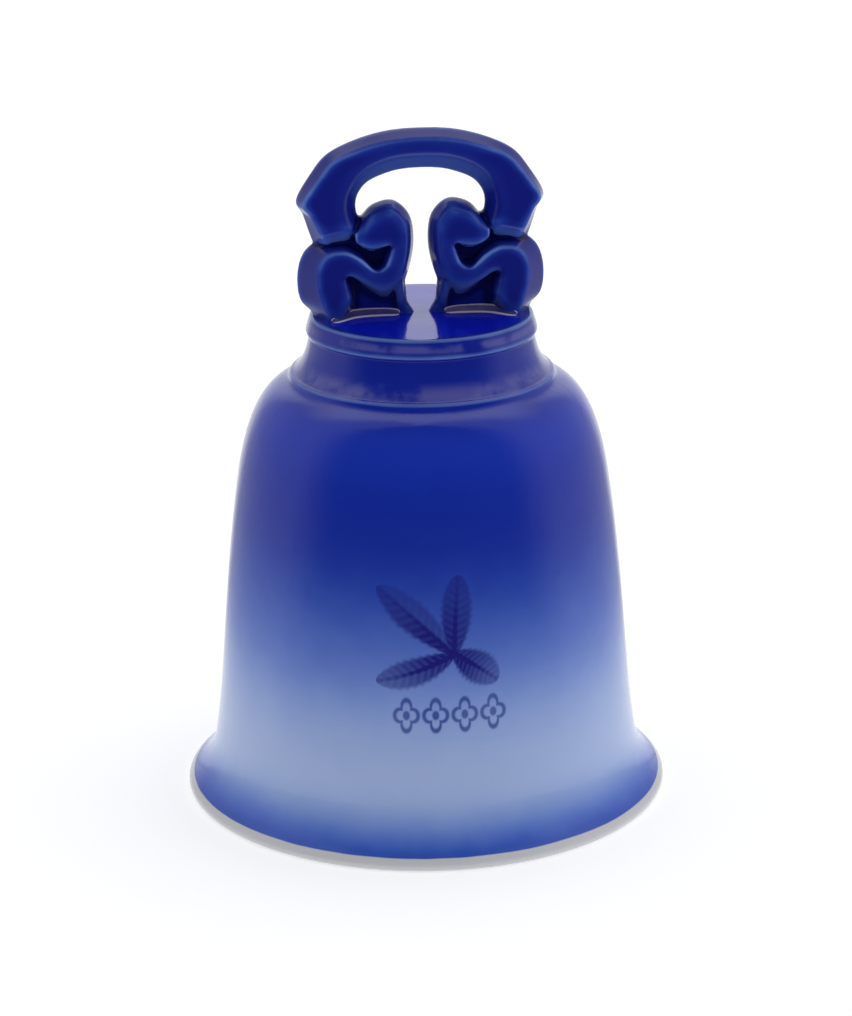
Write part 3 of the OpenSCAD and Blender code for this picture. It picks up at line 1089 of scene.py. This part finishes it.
@dataclass
class HandleCasting:
    """The arch, both scrolls and their webs, moulded and fired as one casting on the crown."""

    base: float = field(default_factory=lambda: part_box("bell_shell")[1].z / MM)
    top: float = field(default_factory=lambda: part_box("handle_arch")[1].z / MM)
    depth_base: float = field(default_factory=lambda: node_size("scroll_left")[1])
    depth_top: float = 6.0
    web: float = 2.0
    voxel: float = 0.24
    corner_radii: tuple = (0.9, 0.6, 1.7, 1.3, 1.7, 0.6)

    def half_depth(self, z: np.ndarray) -> np.ndarray:
        """Half the depth at a height, thinning evenly from the base to the top."""
        share = (z - self.base) / (self.top - self.base)
        return self.depth_base / 2 - share * (self.depth_base - self.depth_top) / 2

    def band(self, stations: np.ndarray) -> tuple[np.ndarray, list[np.ndarray]]:
        """A band carried along stations, six-sided with rounded corners.

        The front and back faces lie between the outer and the inner edge, and each draft widens
        the band at the middle.

        Args:
            stations: Rows of outer x and z, inner x and z, outer draft, inner draft, depth share.

        Returns:
            The points and faces of a closed solid.
        """
        s = through(stations, 8)
        outer, inner = s[:, 0:2], s[:, 2:4]
        along = (outer - inner) / np.linalg.norm(outer - inner, axis=1, keepdims=True)
        outer_mid, inner_mid = outer + along * s[:, 4:5], inner - along * s[:, 5:6]
        outer_y = self.half_depth(outer[:, 1]) * s[:, 6]
        inner_y = self.half_depth(inner[:, 1]) * s[:, 6]
        flat = np.zeros(len(s))
        corners = np.stack([
            np.column_stack([outer_mid[:, 0], flat, outer_mid[:, 1]]),
            np.column_stack([outer[:, 0], -outer_y, outer[:, 1]]),
            np.column_stack([inner[:, 0], -inner_y, inner[:, 1]]),
            np.column_stack([inner_mid[:, 0], flat, inner_mid[:, 1]]),
            np.column_stack([inner[:, 0], inner_y, inner[:, 1]]),
            np.column_stack([outer[:, 0], outer_y, outer[:, 1]]),
        ], axis=1)
        return tube(round_corners(corners, np.array(self.corner_radii), BEVEL_STEPS))

    def arch_stations(self) -> np.ndarray:
        """The arch's stations.

        Returns:
            Rows for band, from the left leg's end over the crest to the right leg's end.
        """
        top = self.top
        half = np.array([
            [0, top - 1.6, 0, top - 4.5, 1.75, 3.5, 1],
            [5.7, top - 2, 5.0, top - 4.8, 1.85, 3.6, 1],
            [11.2, top - 3.3, 9.3, top - 6.2, 1.8, 3.6, 1],
            [16, top - 5.3, 12.2, top - 8.3, 1.6, 3.3, 1],
            [18.9, top - 8.5, 13.8, top - 10.9, 1.5, 3.0, 1],
            [21.8, top - 12.8, 14.3, top - 13.4, 1.2, 2.8, 1],
            [20.3, top - 15.4, 14.1, top - 15.4, 1.6, 2.7, 1],
            [18.9, top - 18.4, 13.3, top - 17.5, 2, 2.5, 0.97],
            [18, top - 20.2, 12.8, top - 19, 2.3, 2.0, 0.72],
            [17.5, top - 21.4, 13, top - 20.4, 2.4, 1.4, 0.3],
        ])
        mirrored = half[:0:-1] * np.array([-1, 1, -1, 1, 1, 1, 1])
        return np.vstack([mirrored, half])

    def scroll_stations(self, side: Side) -> np.ndarray:
        """A scroll's stations.

        Args:
            side: Which scroll.

        Returns:
            Rows for band, from the foot on the crown round the lobe and the curl to the tip.
        """
        base = self.base
        right = np.array([
            [17.5, base - 0.6, 16.4, base - 0.6, 2.9, 4.2, 0.97],
            [17.8, base + 0.9, 15.4, base + 0.9, 3.0, 3.4, 1],
            [18.6, base + 3.4, 13.6, base + 3.6, 4.2, 1.1, 1],
            [19.4, base + 7, 13.9, base + 6, 3.9, 1.0, 1],
            [19.0, base + 10.4, 14.2, base + 7.6, 3.4, 1.2, 1],
            [17.2, base + 12.3, 13.6, base + 8.2, 2.6, 1.6, 1],
            [14.2, base + 12.6, 12.6, base + 8, 1.6, 1.9, 1],
            [11.5, base + 11.3, 10.7, base + 7, 1.2, 2.6, 1],
            [9.0, base + 9.2, 8, base + 6, 1.0, 3.8, 1],
            [7.2, base + 9.6, 5.6, base + 6.6, 1.2, 3.2, 1],
            [6.2, base + 11.4, 3.7, base + 8.8, 1.3, 2.0, 1],
            [5.7, base + 13.2, 2.8, base + 13, 1.3, 1.7, 1],
            [6.0, base + 13.8, 3.0, base + 17.2, 1.8, 1.8, 1],
            [7.4, base + 13.6, 5.5, base + 19.6, 2.0, 2.0, 1],
            [9.2, base + 13.4, 8.8, base + 19.0, 2.0, 1.9, 1],
            [10.9, base + 13.7, 10.9, base + 17.4, 1.6, 1.3, 0.97],
            [12.3, base + 14.4, 12.5, base + 16.0, 0.8, 0.6, 0.85],
        ])
        return right * np.array([side.value, 1, side.value, 1, 1, 1, 1])

    def heel_stations(self, side: Side) -> np.ndarray:
        """The rounded heel at a web's inner end, flared where it meets the crown.

        Args:
            side: Which web.

        Returns:
            Rows for band, from the crown upwards.
        """
        base = self.base
        right = np.array([
            [4.4, base - 0.6, 2.0, base - 0.6, 0.8, 1.3, 0.26],
            [4.3, base + 0.7, 2.5, base + 0.7, 0.8, 1.1, 0.26],
            [4.5, base + 2.2, 3.2, base + 2.2, 0.8, 0.9, 0.32],
            [4.9, base + 4.2, 3.6, base + 4.2, 0.8, 0.7, 0.50],
            [5.6, base + 6.5, 3.9, base + 6.5, 0.9, 0.8, 0.76],
        ])
        return right * np.array([side.value, 1, side.value, 1, 1, 1, 1])

    def web_plate(self, side: Side) -> tuple[np.ndarray, list[np.ndarray]]:
        """The thin web inside a scroll: an outline at the middle, flat in front and behind.

        Args:
            side: Which web.

        Returns:
            The points and faces of a closed solid.
        """
        base = self.base
        outline = np.vstack([
            bezier((1.4, base - 0.6), (2.6, base + 0.2), (2.8, base + 1.6), (2.8, base + 4.5), 8),
            [
                [3.2, base + 9], [4.6, base + 16], [9, base + 17.4], [12.2, base + 19],
                [19, base + 15.6], [19.6, base + 12], [21, base + 8], [18.4, base + 2], [17, base - 0.6],
            ],
        ])
        half = self.web / 2
        centre = np.array([11.0, base + 9.0])
        inset = centre + (outline - centre) * 0.975
        rings = [(inset, -half), (outline, -half * 0.6), (outline, half * 0.6), (inset, half)]
        layers = [np.column_stack([o[:, 0] * side.value, np.full(len(o), y), o[:, 1]]) for o, y in rings]
        return tube(np.stack(layers))

    def parts(self) -> list[tuple[np.ndarray, list[np.ndarray]]]:
        """The closed solids that the casting is made from.

        Returns:
            Each solid's points and faces.
        """
        solids = [self.band(self.arch_stations())]
        for side in Side:
            solids.append(self.band(self.scroll_stations(side)))
            solids.append(self.band(self.heel_stations(side)))
            solids.append(self.web_plate(side))
        return solids

    def fused(self) -> bpy.types.Mesh:
        """The solids made one skin, its creases softened as under a glaze.

        Returns:
            The mesh, in millimetres.
        """
        blocks, faces, start = [], [], 0
        for points, groups in self.parts():
            blocks.append(points)
            faces += [group + start for group in groups]
            start += len(points)
        rough = new_mesh("handle_rough", np.vstack(blocks), faces)
        holder = bpy.data.objects.new("handle_rough", rough)
        bpy.context.scene.collection.objects.link(holder)
        remesh = holder.modifiers.new("fuse", "REMESH")
        remesh.mode = "VOXEL"
        remesh.voxel_size = self.voxel
        graph = bpy.context.evaluated_depsgraph_get()
        mesh = bpy.data.meshes.new_from_object(holder.evaluated_get(graph))
        bpy.data.objects.remove(holder)
        mesh.name = "handle_casting"
        edges = mesh_edges(mesh)
        points = relax(mesh_points(mesh), edges, 18)
        mesh.vertices.foreach_set("co", points.ravel())
        mesh.polygons.foreach_set("use_smooth", np.ones(len(mesh.polygons), bool))
        mesh.update()
        return mesh

    def build(self, glaze: bpy.types.Material) -> bpy.types.Object:
        """Makes the casting.

        Args:
            glaze: Its material.

        Returns:
            The piece.
        """
        mesh = self.fused()
        points, normals, edges = mesh_points(mesh), mesh_normals(mesh), mesh_edges(mesh)
        # Painted highlight: edge paleness is weighted towards upward-facing edges, where light from above
        # catches them.
        upward = 0.45 + 0.55 * np.clip(0.4 + 1.2 * normals[:, 2], 0, 1)
        set_values(mesh, "relief", np.clip(convexity(points, normals, edges, 2) / 0.017, -1, 1) * upward)
        # Smoothed convexity: painted highlight on bulges, glaze pooling and painted shade in creases.
        set_values(mesh, "pooling_and_painted_light", np.clip(convexity(points, normals, edges, 24) / 0.006, -1, 1))
        # Painted bounce light: how far each face is turned downwards, for the pale cobalt that stands in for
        # light from the floor.
        set_values(mesh, "underside_bounce_light", np.clip((-normals[:, 2] - 0.15) / 0.6, 0, 1))
        mesh.materials.clear()
        mesh.materials.append(glaze)
        nodes = ["handle_arch", "scroll_left", "scroll_right", "web_left", "web_right"]
        return new_piece(mesh, "bell", nodes)


@dataclass
class SlipSeam:
    """The smear of slip along a web's foot, where the handle is luted to the crown."""

    side: Side
    base: float = field(default_factory=lambda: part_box("bell_shell")[1].z / MM)
    height: float = 1.25
    width: float = 1.5
    profile: tuple = (
        (-0.6, -0.35), (-0.6, 0.75), (-0.2, 0.96), (0.0, 1.0), (0.2, 0.97), (0.34, 0.80),
        (0.5, 0.52), (0.72, 0.28), (0.92, 0.16), (1.06, 0.08), (1.14, -0.03), (1.14, -0.35),
    )
    # Share of painted highlight at each point of the profile, along the bead's two lips.
    painted_highlight: tuple = (0, 0.3, 0.9, 1, 1, 0.3, 0, 0, 0.8, 1, 0.8, 0)

    def strip(self, face: int) -> tuple[np.ndarray, list[np.ndarray]]:
        """A low wedge, humped along its length, from the leg's corner along the web to its heel.

        The wedge's height and width swell with sin(pi s)^0.35, s running from 0 to 1 along the strip.

        Args:
            face: -1 for the web's front and 1 for its back.

        Returns:
            The points and faces of a closed solid.
        """
        line = through(np.array([
            [17.2, 5.5], [16.4, 4.9], [15.0, 3.4], [13.2, 1.9],
            [10.5, 1.1], [7, 0.95], [4.9, 1.3], [4.2, 1.6],
        ]), 10)
        along = np.gradient(line, axis=0)
        along /= np.linalg.norm(along, axis=1, keepdims=True)
        outward = np.column_stack([along[:, 1], -along[:, 0]])
        swell = np.sin(np.pi * np.linspace(0.01, 0.99, len(line)))[:, None] ** 0.35
        across, up = np.array(self.profile).T
        xy = line[:, None, :] + outward[:, None, :] * (across * self.width * swell)[..., None]
        z = self.base + up * self.height * np.where(up > 0, swell, 1)
        turned = np.array([self.side.value, face])
        points, faces = tube(np.concatenate([xy * turned, z[..., None]], -1))
        return points, [block[:, :: self.side.value * face] for block in faces]

    def build(self, glaze: bpy.types.Material) -> bpy.types.Object:
        """Makes the seam's two strips.

        Args:
            glaze: Its material.

        Returns:
            The piece.
        """
        front, faces = self.strip(-1)
        back, more = self.strip(1)
        solid = np.vstack([front, back])
        faces += [block + len(front) for block in more]
        mesh = new_mesh(f"slip_fillet_{self.side.name.lower()}", solid, faces)
        rows = (len(front) - 2) // len(self.profile)
        # Painted highlight values, repeated for each row of the strip.
        values = np.append(np.tile(np.array(self.painted_highlight), rows), [0, 0])
        set_values(mesh, "relief", np.concatenate([values, values]))
        mesh.materials.append(glaze)
        return new_piece(mesh, "bell", [f"slip_seam_{self.side.name.lower()}"])


@dataclass
class Hanger:
    """The white loop inside the crown that the clapper's swivel hangs from."""

    ceiling: float = field(default_factory=lambda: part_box("hanger_staple")[1].z / MM)
    bottom: float = field(default_factory=lambda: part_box("hanger_staple")[0].z / MM)
    width: float = field(default_factory=lambda: node_size("hanger_staple")[0])
    depth: float = field(default_factory=lambda: node_size("hanger_staple")[1])
    bar: float = 3.0
    leg: float = 4.0
    bore: float = 1.05
    corner: float = 1.6

    def loop(self) -> tuple[np.ndarray, list[np.ndarray]]:
        """A flat band bent down, across and up again, with rounded edges.

        Its corners turn on quarter circles, and its section is a rectangle with rounded corners.

        Returns:
            The points and faces of a closed solid.
        """
        turn = np.linspace(0, np.pi / 2, 9)
        out, low, r = self.width / 2, self.bottom, self.corner
        outer = np.vstack([
            [[-out, self.ceiling], [-out, low + 5.5]],
            np.column_stack([-out + r - r * np.cos(turn), low + r - r * np.sin(turn)]),
            [[-2, low], [2, low]],
            np.column_stack([out - r + r * np.sin(turn), low + r - r * np.cos(turn)]),
            [[out, low + 5.5], [out, self.ceiling]],
        ])
        wide, high, q = out - self.leg, low + self.bar, 0.8
        inner = np.vstack([
            [[-wide, self.ceiling], [-wide, low + 5.5]],
            np.column_stack([-wide + q - q * np.cos(turn), high + q - q * np.sin(turn)]),
            [[-2, high], [2, high]],
            np.column_stack([wide - q + q * np.sin(turn), high + q - q * np.cos(turn)]),
            [[wide, low + 5.5], [wide, self.ceiling]],
        ])
        half = np.full(len(outer), self.depth / 2)
        corners = np.stack([
            np.column_stack([outer[:, 0], -half, outer[:, 1]]),
            np.column_stack([inner[:, 0], -half, inner[:, 1]]),
            np.column_stack([inner[:, 0], half, inner[:, 1]]),
            np.column_stack([outer[:, 0], half, outer[:, 1]]),
        ], axis=1)
        return tube(round_corners(corners, np.full(4, 0.7), BEVEL_STEPS))

    def build(self, glaze: bpy.types.Material) -> None:
        """Makes the loop with its bore, and the slip round its feet.

        Args:
            glaze: Their material.
        """
        solid = bpy.data.objects.new("uncut", new_mesh("uncut", *self.loop()))
        drill_line = np.array([
            [0, self.bottom - 1], [self.bore, self.bottom - 1], [self.bore, self.bottom + self.bar + 1],
            [0, self.bottom + self.bar + 1],
        ])
        points, faces, _ = revolve(drill_line[::-1], 48)
        drill = bpy.data.objects.new("drill", new_mesh("drill", points, faces))
        for made in (solid, drill):
            bpy.context.scene.collection.objects.link(made)
        cut = solid.modifiers.new("bore", "BOOLEAN")
        cut.object = drill
        cut.solver = "EXACT"
        mesh = bpy.data.meshes.new_from_object(solid.evaluated_get(bpy.context.evaluated_depsgraph_get()))
        for made in (solid, drill):
            bpy.data.objects.remove(made)
        mesh.name = "hanger_loop"
        mesh.polygons.foreach_set("use_smooth", np.ones(len(mesh.polygons), bool))
        mesh.set_sharp_from_angle(angle=math.radians(40))
        mesh.materials.clear()
        mesh.materials.append(glaze)
        new_piece(mesh, "bell", ["hanger_staple"])
        self.feet(glaze)

    def feet(self, glaze: bpy.types.Material) -> None:
        """Makes the slip round each foot: a quarter-circle hollow carried round the leg.

        The way round is |x|^(2/p) + |y|^(2/p) = 1 with p 0.32, a rectangle with soft corners.

        Args:
            glaze: Its material.
        """
        hollow = np.linspace(0, np.pi / 2, 7)
        reach = 1.6
        across = np.concatenate([[-0.5, -0.5], reach * (1 - np.sin(hollow[::-1])), [reach]])
        down = np.concatenate([[-0.3, reach], reach * (1 - np.cos(hollow[::-1])), [-0.3]])
        angle = np.linspace(0, 2 * np.pi, 64, endpoint=False)
        box_x, box_y = self.leg / 2, self.depth / 2
        power = 0.32
        ring_x = np.sign(np.cos(angle)) * np.abs(np.cos(angle)) ** power
        ring_y = np.sign(np.sin(angle)) * np.abs(np.sin(angle)) ** power
        solids, faces, start = [], [], 0
        for sign in (-1, 1):
            middle = sign * (self.width / 2 - self.leg / 2)
            x = middle + ring_x[:, None] * (box_x + across)[None, :]
            y = ring_y[:, None] * (box_y + across)[None, :]
            z = np.broadcast_to(self.ceiling - down, x.shape)
            block = np.stack([x, y, z], -1)
            rows, columns = block.shape[:2]
            solids.append(block.reshape(-1, 3))
            wrapped = grid_faces(rows + 1, columns) % (rows * columns)
            faces.append(wrapped[:, ::-1] + start)
            start += rows * columns
        mesh = new_mesh("hanger_slip", np.vstack(solids), faces)
        mesh.materials.append(glaze)
        new_piece(mesh, "bell", ["staple_slip"])


@dataclass
class Clapper:
    """The brass swivel and clapper wire, their collars and the white ball."""

    wire: float = 1.0
    eye: float = 2.6
    swivel_eye_z: float = 76.6
    clapper_eye_z: float = 73.45
    shank_top: float = field(default_factory=lambda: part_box("swivel_eye")[1].z / MM)
    rod_bottom: float = field(default_factory=lambda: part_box("clapper_wire")[0].z / MM)
    bore: float = 1.06

    def eye_path(self, far_end: float, centre: float, upward: bool) -> np.ndarray:
        """A straight wire that bends into an eye: a line to the ring, then most of a circle.

        Args:
            far_end: Height of the wire's straight end.
            centre: Height of the eye's centre.
            upward: Whether the straight wire stands above the eye.

        Returns:
            Rows of x and z.
        """
        sign = 1 if upward else -1
        start = centre + sign * (self.eye + 0.9)
        line = np.column_stack([np.zeros(24), np.linspace(far_end, start, 24)])
        turn = np.radians(np.linspace(28, 352, 60))
        ring = np.column_stack([self.eye * np.sin(turn), centre + sign * self.eye * np.cos(turn)])
        bend = np.column_stack([[0.0, 0.22, 0.62], centre + sign * (self.eye + np.array([0.45, 0.1, -0.1]))])
        return np.vstack([line, bend, ring])

    def wire_piece(
        self, name: str, path: np.ndarray, body: str, node: str, metal: bpy.types.Material
    ) -> None:
        """Makes a wire along a path, its two ends rounded over.

        Args:
            name: The piece's name.
            path: Rows of x, y, z.
            body: The body that it rides on.
            node: The CAD node that it replaces.
            metal: Its material.
        """
        radius = np.full(len(path), self.wire)
        for end in (0, -1):
            radius[end] = self.wire * 0.8
        mesh = new_mesh(name, *wire_along(path, radius, 28))
        mesh.materials.append(metal)
        new_piece(mesh, body, [node])

    def collar(self, name: str, node: str, body: str, metal: bpy.types.Material) -> None:
        """Makes a collar where its CAD node stands: a ring with a rounded edge.

        The ring's section is a rectangle whose outer corners are quarter circles.

        Args:
            name: The piece's name.
            node: The CAD node that it replaces.
            body: The body that it rides on.
            metal: Its material.
        """
        low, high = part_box(node)
        bottom, top, out, r = low.z / MM, high.z / MM, high.x / MM, 0.4
        turn = np.linspace(0, np.pi / 2, 7)
        section = np.vstack([
            [[self.wire, top]],
            np.column_stack([out - r + r * np.sin(turn), top - r + r * np.cos(turn)]),
            np.column_stack([out - r + r * np.cos(turn), bottom + r - r * np.sin(turn)]),
            [[self.wire, bottom]],
        ])
        mesh = new_mesh(name, *ring_solid(section, 64))
        mesh.materials.append(metal)
        new_piece(mesh, body, [node])

    def ball(self, glaze: bpy.types.Material) -> None:
        """Makes the ball: a sphere with a bore down its middle, whose lips are rounded.

        Args:
            glaze: Its material.
        """
        low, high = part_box("clapper_ball")
        r = (high.x - low.x) / 2 / MM
        middle = (high.z + low.z) / 2 / MM
        lip = math.asin((self.bore + 0.6) / r)
        turn = np.linspace(lip, math.pi - lip, 72)
        shell = np.column_stack([r * np.sin(turn), middle + r * np.cos(turn)])
        end = r * math.cos(lip)
        section = np.vstack([
            [[self.bore, middle - end + 0.7], [self.bore, middle], [self.bore, middle + end - 0.7]],
            [[self.bore + 0.06, middle + end - 0.3], [self.bore + 0.25, middle + end - 0.06]],
            shell,
            [[self.bore + 0.25, middle - end + 0.06], [self.bore + 0.06, middle - end + 0.3]],
        ])
        mesh = new_mesh("clapper_bead", *ring_solid(section, 128))
        mesh.materials.append(glaze)
        new_piece(mesh, "clapper", ["clapper_ball"])

    def build(self, metal: bpy.types.Material, glaze: bpy.types.Material) -> None:
        """Makes every piece.

        Args:
            metal: The wires' and collars' material.
            glaze: The ball's material.
        """
        swivel = self.eye_path(self.shank_top, self.swivel_eye_z, True)
        flat = np.zeros(len(swivel))
        path = np.column_stack([swivel[:, 0], flat, swivel[:, 1]])
        self.wire_piece("swivel_wire", path, "swivel", "swivel_eye", metal)
        rod = self.eye_path(self.rod_bottom, self.clapper_eye_z, False)
        flat = np.zeros(len(rod))
        path = np.column_stack([flat, rod[:, 0], rod[:, 1]])
        self.wire_piece("clapper_rod", path, "clapper", "clapper_wire", metal)
        self.collar("swivel_washer", "swivel_collar", "swivel", metal)
        self.collar("bead_washer", "clapper_collar", "clapper", metal)
        self.collar("bead_stop", "clapper_stop", "clapper", metal)
        self.ball(glaze)


@dataclass
class Studio:
    """Floor, surrounding light and camera."""

    distance: float = 0.600
    lens: float = 112.2
    azimuth: float = -6.8
    elevation: float = 18.45
    roll: float = -0.6
    target: tuple = (0.00049, -0.00006, 0.0544)
    side_level: float = 0.52
    back_level: float = 0.55
    overhead_level: float = 1.35
    soft_level: float = 0.84
    front_dip: float = 0.54
    right_lean: float = 0.16
    top_lean: float = 0.04
    floor_glow: float = 0.37
    side_fall: tuple = (0.62, 0.02)
    back_fall: tuple = (-0.78, -0.94)
    overhead_rise: tuple = (0.60, 0.88)
    behind_rise: tuple = (0.05, 0.40)
    floor_rise: tuple = (0.06, 0.16)

    def camera(self) -> None:
        """Places the camera on the bell's target, turned a little about its own axis."""
        a, e = math.radians(self.azimuth), math.radians(self.elevation)
        back = Vector((math.sin(a) * math.cos(e), -math.cos(a) * math.cos(e), math.sin(e)))
        data = bpy.data.cameras.new("camera")
        data.lens = self.lens
        data.clip_start, data.clip_end = 0.01, 20.0
        camera = bpy.data.objects.new("camera", data)
        bpy.context.scene.collection.objects.link(camera)
        camera.rotation_mode = "QUATERNION"
        camera.location = Vector(self.target) + back * self.distance
        aim = (-back).to_track_quat("-Z", "Y").to_matrix()
        turn = aim @ Matrix.Rotation(math.radians(self.roll), 3, "Z")
        camera.rotation_quaternion = turn.to_quaternion()
        bpy.context.scene.camera = camera

    def wall_level(self, w: Wiring, x: object, y: object) -> bpy.types.NodeSocket:
        """How bright the surroundings look in the glaze: dark in front, paler round the sides.

        Args:
            w: The wiring.
            x: The direction's x.
            y: The direction's y.

        Returns:
            The brightness at that bearing.
        """
        a = math.radians(self.azimuth)
        facing = w.math("SUBTRACT", w.math("MULTIPLY", x, math.sin(a)), w.math("MULTIPLY", y, math.cos(a)))
        level = w.math("SQRT", w.math("ADD", w.math("MULTIPLY", x, x), w.math("MULTIPLY", y, y)))
        bearing = w.math("DIVIDE", facing, w.math("MAXIMUM", level, 0.001))
        sides = w.math("MULTIPLY", w.ramp(bearing, *self.side_fall), self.side_level)
        behind = w.math("MULTIPLY", w.ramp(bearing, *self.back_fall), self.back_level)
        return w.math("ADD", sides, behind)

    def floor(self) -> None:
        """A wide pale floor, whose reflection in the glaze falls away as the surroundings do."""
        half = 3.0
        points = np.array([[-half, -half, 0], [half, -half, 0], [half, half, 0], [-half, half, 0]])
        mesh = new_mesh("floor", points, [np.array([[0, 1, 2, 3]])])
        floor = bpy.data.objects.new("floor", mesh)
        bpy.context.scene.collection.objects.link(floor)
        material, w, shader = new_material("pale_floor")
        split = w.node("ShaderNodeSeparateXYZ")
        w.feed(split.inputs[0], w.node("ShaderNodeTexCoord").outputs["Object"])
        x, y = split.outputs["X"], split.outputs["Y"]
        reach = w.math("SQRT", w.math("ADD", w.math("MULTIPLY", x, x), w.math("MULTIPLY", y, y)))
        mirrored = w.node("ShaderNodeLightPath").outputs["Is Glossy Ray"]
        missing = w.math("SUBTRACT", 1.0, self.wall_level(w, x, y), clamp=True)
        shade = w.math("MULTIPLY", w.math("MULTIPLY", mirrored, w.ramp(reach, *self.floor_rise)), missing)
        w.feed(shader.inputs["Base Color"], w.mix(shade, (0.93, 0.93, 0.93, 1), (0, 0, 0, 1)))
        shader.inputs["Roughness"].default_value = 0.9
        shader.inputs["Specular IOR Level"].default_value = 0.0
        w.feed(shader.inputs["Emission Color"], w.mix(shade, (1, 1, 1, 1), (0, 0, 0, 1)))
        shader.inputs["Emission Strength"].default_value = self.floor_glow
        mesh.materials.append(material)

    def light(self) -> None:
        """Soft white surroundings, a broad light overhead and a dark opening where the camera stands."""
        world = bpy.data.worlds.new("studio")
        bpy.context.scene.world = world
        world.use_nodes = True
        w = Wiring(world.node_tree)
        background = world.node_tree.nodes["Background"]
        split = w.node("ShaderNodeSeparateXYZ")
        w.feed(split.inputs[0], w.node("ShaderNodeTexCoord").outputs["Generated"])
        x, y, z = split.outputs["X"], split.outputs["Y"], split.outputs["Z"]
        beyond = w.math("SUBTRACT", y, w.math("MULTIPLY", x, math.sin(math.radians(self.azimuth))))
        high, behind = w.ramp(z, *self.overhead_rise), w.ramp(beyond, *self.behind_rise)
        overhead = w.math("MULTIPLY", high, behind)
        wall = self.wall_level(w, x, y)
        gap = w.math("SUBTRACT", self.overhead_level, wall)
        mirrored = w.math("ADD", wall, w.math("MULTIPLY", overhead, gap))
        lean = w.math("ADD", w.math("MULTIPLY", x, self.right_lean), w.math("MULTIPLY", z, self.top_lean))
        front = w.math("SUBTRACT", w.math("MULTIPLY", x, math.sin(math.radians(self.azimuth))), y)
        dip = w.math("MULTIPLY", w.ramp(front, 0.0, 1.0), self.front_dip)
        soft = w.math("SUBTRACT", w.math("ADD", lean, self.soft_level), dip)
        path = w.node("ShaderNodeLightPath")
        glossy, seen = path.outputs["Is Glossy Ray"], path.outputs["Is Camera Ray"]
        strength = w.math("ADD", soft, w.math("MULTIPLY", glossy, w.math("SUBTRACT", mirrored, soft)))
        strength = w.math("ADD", strength, w.math("MULTIPLY", seen, w.math("SUBTRACT", 1.0, strength)))
        background.inputs["Color"].default_value = (1.0, 1.0, 1.0, 1.0)
        w.feed(background.inputs["Strength"], strength)

    def build(self) -> None:
        """Sets up the studio."""
        self.camera()
        self.floor()
        self.light()
        bpy.context.scene.view_settings.view_transform = "Standard"


def main() -> None:
    """Builds the studio, the finishes and each sub-assembly in turn."""
    logging.basicConfig(level=logging.INFO, format="%(name)s: %(message)s")
    Studio().build()
    ripple = glaze_ripple_group()
    leaf, floret = painted_leaf_group(), painted_floret_group()
    painted = PaintedGlaze(ripple, skirt_place_group(), leaf, floret).build()
    cobalt = CobaltGlaze("cobalt_glaze", ripple).build()
    white = WhiteGlaze(ripple).build()
    brass = DrawnBrass(ripple).build()
    BellShell().build(painted)
    HandleCasting().build(cobalt)
    slip = SmearedSlip(ripple).build()
    for side in Side:
        SlipSeam(side).build(slip)
    Hanger().build(white)
    Clapper().build(brass, white)


if __name__ == "__main__":
    main()
